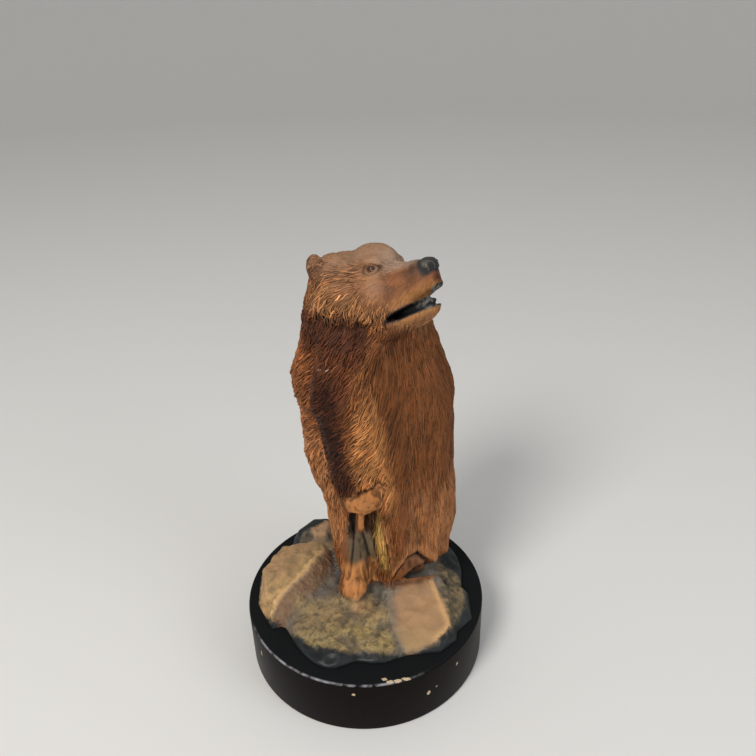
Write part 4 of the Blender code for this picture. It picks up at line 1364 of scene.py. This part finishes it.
def add_relief(tree, shader, height, strength, distance, place):
    """Fine relief under the light, from a height and a distance in millimetres."""
    relief = add_node(tree, "ShaderNodeBump", place)
    feed_all(tree, relief, {"Strength": strength, "Distance": distance * MM, "Height": height})
    feed(tree, shader.inputs["Normal"], relief.outputs["Normal"])


def mix_colour(tree, factor, first, second, place, blend="MIX"):
    node = add_node(tree, "ShaderNodeMix", place, data_type="RGBA", blend_type=blend)
    for name, kind, value in (("Factor", "VALUE", factor), ("A", "RGBA", first), ("B", "RGBA", second)):
        feed(tree, next(s for s in node.inputs if s.name == name and s.type == kind), value)
    return next(s for s in node.outputs if s.type == "RGBA")


def new_group(name, inputs, outputs):
    """A shader node group with named sockets. Inputs are (name, kind, default)."""
    group = bpy.data.node_groups.new(name, "ShaderNodeTree")
    for socket_name, kind, default in inputs:
        socket = group.interface.new_socket(name=socket_name, in_out="INPUT", socket_type=kind)
        if default is not None:
            socket.default_value = default
    for socket_name, kind in outputs:
        group.interface.new_socket(name=socket_name, in_out="OUTPUT", socket_type=kind)
    way_in = add_node(group, "NodeGroupInput", (-900, 0))
    way_out = add_node(group, "NodeGroupOutput", (700, 0))
    return group, way_in.outputs, way_out.inputs


def place_group(tree, group, place, values):
    node = add_node(tree, "ShaderNodeGroup", place, node_tree=group)
    feed_all(tree, node, values)
    return node.outputs


def speckle_group():
    """Fine grain and dust of a cast and painted surface."""
    if "Cast grain" in bpy.data.node_groups:
        return bpy.data.node_groups["Cast grain"]
    group, given, put = new_group(
        "Cast grain",
        (("Colour", "NodeSocketColor", None), ("Vector", "NodeSocketVector", None),
         ("Grain", "NodeSocketFloat", 900.0), ("Mottle", "NodeSocketFloat", 0.2)),
        (("Colour", "NodeSocketColor"), ("Height", "NodeSocketFloat"), ("Mask", "NodeSocketFloat")),
    )
    fine = noise_node(group, given["Vector"], given["Grain"], 3.0, (-600, 200), 0.6)
    coarse_scale = math_node(group, "MULTIPLY", given["Grain"], 0.13, (-760, -200))
    broad = noise_node(group, given["Vector"], coarse_scale, 2.0, (-600, -100))
    both = math_node(group, "ADD", fine, broad, (-400, 50))
    centred = math_node(group, "SUBTRACT", both, 1.0, (-240, 50))
    swing = math_node(group, "MULTIPLY", centred, given["Mottle"], (-80, 50))
    tone = math_node(group, "ADD", swing, 1.0, (80, 50))
    lit = mix_colour(group, 1.0, given["Colour"], tone, (300, 120), "MULTIPLY")
    for name, socket in (("Colour", lit), ("Height", fine), ("Mask", broad)):
        group.links.new(socket, put[name])
    return group


def spot_group():
    """A ragged spot round a place: 1 inside its radius and 0 outside."""
    if "Chip" in bpy.data.node_groups:
        return bpy.data.node_groups["Chip"]
    group, given, put = new_group(
        "Chip",
        (("Vector", "NodeSocketVector", None), ("Centre", "NodeSocketVector", None),
         ("Stretch", "NodeSocketVector", (1, 1, 1)), ("Radius", "NodeSocketFloat", 0.001)),
        (("Mask", "NodeSocketFloat"),),
    )
    away = vector_node(group, "SUBTRACT", (given["Vector"], given["Centre"]), (-600, 0))
    scaled = vector_node(group, "MULTIPLY", (away, given["Stretch"]), (-440, 0))
    far = vector_node(group, "LENGTH", (scaled,), (-280, 0))
    rag = noise_node(group, given["Vector"], 1400.0, 2.0, (-600, -220))
    wobble = math_node(group, "MULTIPLY", rag, 0.0012, (-280, -220))
    ragged = math_node(group, "ADD", far, wobble, (-120, 0))
    centred = math_node(group, "SUBTRACT", ragged, 0.0006, (20, 0))
    inside = math_node(group, "SUBTRACT", given["Radius"], centred, (160, 0))
    sharp = math_node(group, "MULTIPLY", inside, 9000.0, (300, 0), clamp=True)
    group.links.new(sharp, put["Mask"])
    return group


def object_vector(tree):
    return add_node(tree, "ShaderNodeTexCoord", (-1200, -200)).outputs["Object"]


ROUGHNESS_SWING = 0.07
GLOSS_DROP = 0.22


def painted_material(name, grain, mottle, bump, roughness, specular):
    """Matt paint on resin, coloured by the mesh's own paint attribute."""
    material, tree, shader = new_material(name)
    paint = add_node(tree, "ShaderNodeAttribute", (-1200, 200), attribute_name="paint")
    vector = object_vector(tree)
    out = place_group(
        tree, speckle_group(), (-800, 200),
        {"Colour": paint.outputs["Color"], "Vector": vector, "Grain": grain, "Mottle": mottle},
    )
    tree.links.new(out["Colour"], shader.inputs["Base Color"])
    spread = add_node(tree, "ShaderNodeMapRange", (-420, -60))
    feed_all(tree, spread, {"Value": out["Mask"], "From Min": 0.3, "From Max": 0.7})
    feed_all(tree, spread, {"To Min": roughness - ROUGHNESS_SWING, "To Max": roughness + ROUGHNESS_SWING})
    rough = spread.outputs[0]
    if name == "painted_resin":
        gloss = add_node(tree, "ShaderNodeAttribute", (-620, -260), attribute_name="gloss")
        drop = math_node(tree, "MULTIPLY", gloss.outputs["Fac"], GLOSS_DROP, (-420, -260))
        rough = math_node(tree, "SUBTRACT", rough, drop, (-220, -160))
    tree.links.new(rough, shader.inputs["Roughness"])
    add_relief(tree, shader, out["Height"], bump, 0.12, (-220, -340))
    shader.inputs["Specular IOR Level"].default_value = specular
    return material


# Where the plinth's matt top begins, and the middle and breadth of the painted highlight on its upper edge,
# in millimetres
MATT_FROM = 28.35
HIGHLIGHT_HEIGHT, HIGHLIGHT_RADIUS, HIGHLIGHT_BREADTH = 28.45, 56.5, 0.95
# The side that the painted highlight is on, towards the front left
HIGHLIGHT_SIDE = (-0.39, -0.92, 0.0)
# Chips of the lacquer: place, stretch and radius, in millimetres
CHIPS = (
    ((-7.2, -56.5, 23.4), (1, 1, 1), 0.75),
    ((25.9, -50.8, 14.6), (1, 1, 0.8), 0.95),
    ((29.6, -48.7, 16.0), (1, 1, 1), 0.42),
    ((39.6, -41.0, 20.4), (1, 1, 0.75), 0.70),
    ((-49.5, -28.3, 19.4), (1, 1, 0.35), 0.62),
    ((1.2, -44.5, 29.0), (1, 1, 1), 0.45),
    ((6.3, -54.0, 29.0), (0.6, 1, 1), 0.70),
    ((8.6, -55.4, 28.7), (0.6, 1.3, 1), 0.95),
    ((11.8, -55.0, 28.6), (0.5, 1.3, 1), 0.95),
    ((15.6, -54.2, 28.5), (0.35, 1.3, 1), 0.80),
)


def plinth_material(settings):
    """Black lacquer, matt on top and glossy on the wall, with a painted highlight on the upper edge, and
    chipped.
    """
    material, tree, shader = new_material("black_lacquer")
    vector = object_vector(tree)
    parts = add_node(tree, "ShaderNodeSeparateXYZ", (-1000, 300))
    tree.links.new(vector, parts.inputs[0])
    height = parts.outputs["Z"]
    flat = vector_node(tree, "MULTIPLY", (vector, (1, 1, 0)), (-1000, 60))
    radius = vector_node(tree, "LENGTH", (flat,), (-840, 60))
    grain = place_group(
        tree, speckle_group(), (-1000, -400),
        {"Colour": tuple(settings.lacquer), "Vector": vector, "Grain": 420.0, "Mottle": 0.35},
    )
    on_top = above(tree, height, MATT_FROM * MM, 2200.0, (-820, 320))
    # The top gets its lighter bluish tint here: a painted reflection of the room's light
    colour = mix_colour(tree, on_top, grain["Colour"], tuple(settings.top), (-420, 300))
    # A painted highlight along the rounded upper edge, broken into patches by noise, on the front-left side
    # only
    edge_z = math_node(tree, "SUBTRACT", height, HIGHLIGHT_HEIGHT * MM, (-820, 160))
    edge_z = math_node(tree, "ABSOLUTE", edge_z, 0.0, (-660, 160))
    edge_r = math_node(tree, "SUBTRACT", radius, HIGHLIGHT_RADIUS * MM, (-680, 60))
    edge_r = math_node(tree, "ABSOLUTE", edge_r, 0.0, (-520, 60))
    off_edge = math_node(tree, "ADD", edge_z, edge_r, (-380, 100))
    highlighted = math_node(tree, "SUBTRACT", HIGHLIGHT_BREADTH * MM, off_edge, (-240, 100))
    highlighted = math_node(tree, "MULTIPLY", highlighted, 1500.0, (-100, 100), clamp=True)
    highlight_patches = above(tree, noise_node(tree, vector, 240.0, 4.0, (-680, -160)), 0.36, 5.0, (-500, -160))
    toward = vector_node(tree, "DOT_PRODUCT", (vector, HIGHLIGHT_SIDE), (-680, -300))
    side = above(tree, toward, 36 * MM, 70.0, (-500, -300))
    highlight_patches = math_node(tree, "MULTIPLY", highlight_patches, side, (-180, -200))
    highlighted = math_node(tree, "MULTIPLY", highlighted, highlight_patches, (60, 40))
    colour = mix_colour(tree, highlighted, colour, tuple(settings.edge_highlight), (200, 300))
    chipped = None
    for number, (centre, stretch, size) in enumerate(CHIPS):
        centre = tuple(c * MM for c in centre)
        mask = place_group(
            tree, spot_group(), (-600, -500 - 180 * number),
            {"Vector": vector, "Centre": centre, "Stretch": stretch, "Radius": size * MM},
        )["Mask"]
        if chipped is None:
            chipped = mask
        else:
            chipped = math_node(tree, "MAXIMUM", chipped, mask, (-380 + 60 * number, -500 - 180 * number))
    colour = mix_colour(tree, chipped, colour, tuple(settings.bare_wood), (420, 300))
    tree.links.new(colour, shader.inputs["Base Color"])
    matt = math_node(tree, "MULTIPLY", on_top, 0.30, (-240, -20))
    rough = math_node(tree, "ADD", matt, 0.32, (60, -60))
    cloud = math_node(tree, "MULTIPLY", grain["Mask"], 0.14, (60, -180))
    rough = math_node(tree, "ADD", rough, cloud, (220, -60))
    bare = math_node(tree, "MULTIPLY", chipped, 0.4, (220, -200))
    rough = math_node(tree, "ADD", rough, bare, (400, -60), clamp=True)
    tree.links.new(rough, shader.inputs["Roughness"])
    dent = math_node(tree, "MULTIPLY", chipped, -1.0, (220, -320))
    height_in = math_node(tree, "ADD", grain["Height"], dent, (400, -320))
    add_relief(tree, shader, height_in, 0.35, 0.10, (560, -320))
    shader.inputs["Specular IOR Level"].default_value = 0.06
    return material


def dress(thing, node, material):
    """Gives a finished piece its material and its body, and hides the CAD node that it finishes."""
    thing.data.materials.clear()
    thing.data.materials.append(material)
    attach(thing, BODY)
    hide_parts(node)


class BEAR_OT_figure(bpy.types.Operator):
    """Models, carves and paints the cast bear with the rocks under it"""

    bl_idname = "bear.figure"
    bl_label = "Bear and rocks"

    def execute(self, context):
        settings = context.scene.bear_casting
        figure = model_figure()
        carve_figure(figure)
        thin_out(figure)
        keep_above_plinth(figure.data)
        figure.data.shade_smooth()
        paint_figure(figure, settings)
        material = painted_material("painted_resin", 1300.0, 0.40, 0.5, 0.62, 0.22)
        dress(figure, CASTING_NODE, material)
        return {"FINISHED"}


class BEAR_OT_coat(bpy.types.Operator):
    """Carves the locks of the body's coat and of the head"""

    bl_idname = "bear.coat"
    bl_label = "Locks of the coat"

    def execute(self, context):
        settings = context.scene.bear_casting
        figure = bpy.data.objects["bear_figure"]
        material = painted_material("painted_coat", 1600.0, 0.40, 0.25, 0.60, 0.22)
        body = add_coat("body_coat", figure, settings.body_locks, weigh_front, measure_body, 101)
        back = add_coat("back_coat", figure, settings.back_locks, weigh_back, measure_back, 151)
        head = add_coat("head_coat", figure, settings.head_locks, weigh_head, measure_head, 201)
        for coat in (body, back, head):
            dress(coat, CASTING_NODE, material)
        return {"FINISHED"}


class BEAR_OT_face(bpy.types.Operator):
    """Models the eyes with their lids and the nose"""

    bl_idname = "bear.face"
    bl_label = "Eyes and nose"

    def execute(self, context):
        glossy = painted_material("glossy_eye", 2500.0, 0.2, 0.0, 0.42, 0.30)
        satin = painted_material("satin_nose", 1800.0, 0.4, 0.5, 0.40, 0.35)
        skin = painted_material("painted_lid", 1800.0, 0.5, 0.4, 0.60, 0.22)
        dress(add_eyes(), CASTING_NODE, glossy)
        dress(add_lids(), CASTING_NODE, skin)
        dress(add_nose(), CASTING_NODE, satin)
        return {"FINISHED"}


class BEAR_OT_plinth(bpy.types.Operator):
    """Models the round plinth with its softened edges and lacquers it"""

    bl_idname = "bear.plinth"
    bl_label = "Plinth"

    def execute(self, context):
        settings = context.scene.bear_plinth
        low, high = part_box(PLINTH_NODE)
        radius, depth = (high.x - low.x) / 2, high.z - low.z
        plinth = add_cylinder("plinth_disc", 192, radius, depth, low.z)
        round_edges(plinth, "Edge", settings.edge_round, 5)
        rings = [{"thickness": width * MM} for width in (6, 30)]
        edit_faces(plinth, lambda face: len(face.vertices) > 4, bpy.ops.mesh.inset, *rings)
        bpy.ops.object.shade_smooth_by_angle(angle=math.radians(40))
        dress(plinth, PLINTH_NODE, plinth_material(settings))
        return {"FINISHED"}


class BEAR_OT_stage(bpy.types.Operator):
    """Sets up the pale floor, the soft lights and the camera"""

    bl_idname = "bear.stage"
    bl_label = "Floor, lights and camera"

    def execute(self, context):
        settings = context.scene.bear_stage
        add_floor(settings)
        add_light("key", (-0.50, -0.72, 0.95), 0.45, settings.key_power, (1.0, 0.965, 0.91))
        add_light("fill", (0.75, -0.55, 0.55), 0.60, settings.fill_power, (0.93, 0.96, 1.0))
        add_sky(settings.sky)
        add_camera()
        context.scene.view_settings.view_transform = "Standard"
        return {"FINISHED"}


FLOOR_RADIUS, FLOOR_RIM, FLOOR_BEND = 3.0, 1.8, 1.2
LIGHT_TARGET = Vector((0, 0, 0.10))


def add_floor(settings):
    """A wide round floor whose rim bends up, plain from every side."""
    floor = add_cylinder("stage_floor", 128, FLOOR_RADIUS, FLOOR_RIM, 0.0)
    edit_faces(floor, lambda face: face.center.z > FLOOR_RIM - 0.01, bpy.ops.mesh.delete, {"type": "FACE"})
    round_edges(floor, "Bend", FLOOR_BEND, 16)
    floor.data.flip_normals()
    floor.data.shade_smooth()
    material, _, shader = new_material("pale_floor")
    shader.inputs["Base Color"].default_value = settings.floor
    shader.inputs["Roughness"].default_value = 0.85
    floor.data.materials.append(material)


def add_light(name, place, size, power, colour):
    """A soft round light turned towards the bear."""
    data = bpy.data.lights.new(name, "AREA")
    data.shape, data.size, data.energy, data.color = "DISK", size, power, colour
    light = bpy.data.objects.new(name, data)
    light.location = place
    light.rotation_mode = "QUATERNION"
    light.rotation_quaternion = (LIGHT_TARGET - Vector(place)).to_track_quat("-Z", "Y")
    bpy.context.scene.collection.objects.link(light)


def add_sky(strength):
    world = bpy.data.worlds.new("even_light")
    world.use_nodes = True
    ground = world.node_tree.nodes["Background"]
    ground.inputs["Color"].default_value = (1.0, 0.99, 0.97, 1.0)
    ground.inputs["Strength"].default_value = strength
    bpy.context.scene.world = world


CAMERA_PLACE = (0.0, -0.2625, 0.2895)
CAMERA_PITCH, CAMERA_YAW, CAMERA_ROLL = math.radians(28.61), math.radians(1.94), math.radians(-1.56)
CAMERA_SENSOR, CAMERA_LENS = 36.0, 36.0 * 720 / 756


def add_camera():
    data = bpy.data.cameras.new("camera")
    data.sensor_width, data.lens, data.clip_start = CAMERA_SENSOR, CAMERA_LENS, 0.01
    camera = bpy.data.objects.new("camera", data)
    forward = Vector((
        math.sin(CAMERA_YAW) * math.cos(CAMERA_PITCH),
        math.cos(CAMERA_YAW) * math.cos(CAMERA_PITCH),
        -math.sin(CAMERA_PITCH),
    ))
    level = Vector((math.cos(CAMERA_YAW), -math.sin(CAMERA_YAW), 0.0))
    upright = level.cross(forward)
    right = level * math.cos(CAMERA_ROLL) + upright * math.sin(CAMERA_ROLL)
    up = upright * math.cos(CAMERA_ROLL) - level * math.sin(CAMERA_ROLL)
    turn = Matrix((right, up, -forward)).transposed()
    camera.matrix_world = Matrix.Translation(CAMERA_PLACE) @ turn.to_4x4()
    bpy.context.scene.collection.objects.link(camera)
    bpy.context.scene.camera = camera


class BEAR_PT_panel(bpy.types.Panel):
    """Lists the pieces of the bear figurine with their settings"""

    bl_idname = "BEAR_PT_panel"
    bl_label = "Resin bear"
    bl_space_type = "VIEW_3D"
    bl_region_type = "UI"
    bl_category = "Bear"

    def draw(self, context):
        scene = context.scene
        for title, settings, operators in (
            ("Casting", scene.bear_casting, (BEAR_OT_figure, BEAR_OT_coat, BEAR_OT_face)),
            ("Plinth", scene.bear_plinth, (BEAR_OT_plinth,)),
            ("Stage", scene.bear_stage, (BEAR_OT_stage,)),
        ):
            box = self.layout.box()
            box.label(text=title)
            for key in settings.__annotations__:
                box.prop(settings, key)
            for operator in operators:
                box.operator(operator.bl_idname)


CLASSES = (
    CastingSettings, PlinthSettings, StageSettings,
    BEAR_OT_figure, BEAR_OT_coat, BEAR_OT_face, BEAR_OT_plinth, BEAR_OT_stage, BEAR_PT_panel,
)


def register():
    for cls in CLASSES:
        bpy.utils.register_class(cls)
    bpy.types.Scene.bear_casting = bpy.props.PointerProperty(type=CastingSettings)
    bpy.types.Scene.bear_plinth = bpy.props.PointerProperty(type=PlinthSettings)
    bpy.types.Scene.bear_stage = bpy.props.PointerProperty(type=StageSettings)


def unregister():
    del bpy.types.Scene.bear_casting, bpy.types.Scene.bear_plinth, bpy.types.Scene.bear_stage
    for cls in reversed(CLASSES):
        bpy.utils.unregister_class(cls)


def main():
    register()
    bpy.ops.bear.figure()
    bpy.ops.bear.coat()
    bpy.ops.bear.face()
    bpy.ops.bear.plinth()
    bpy.ops.bear.stage()


if __name__ == "__main__":
    main()
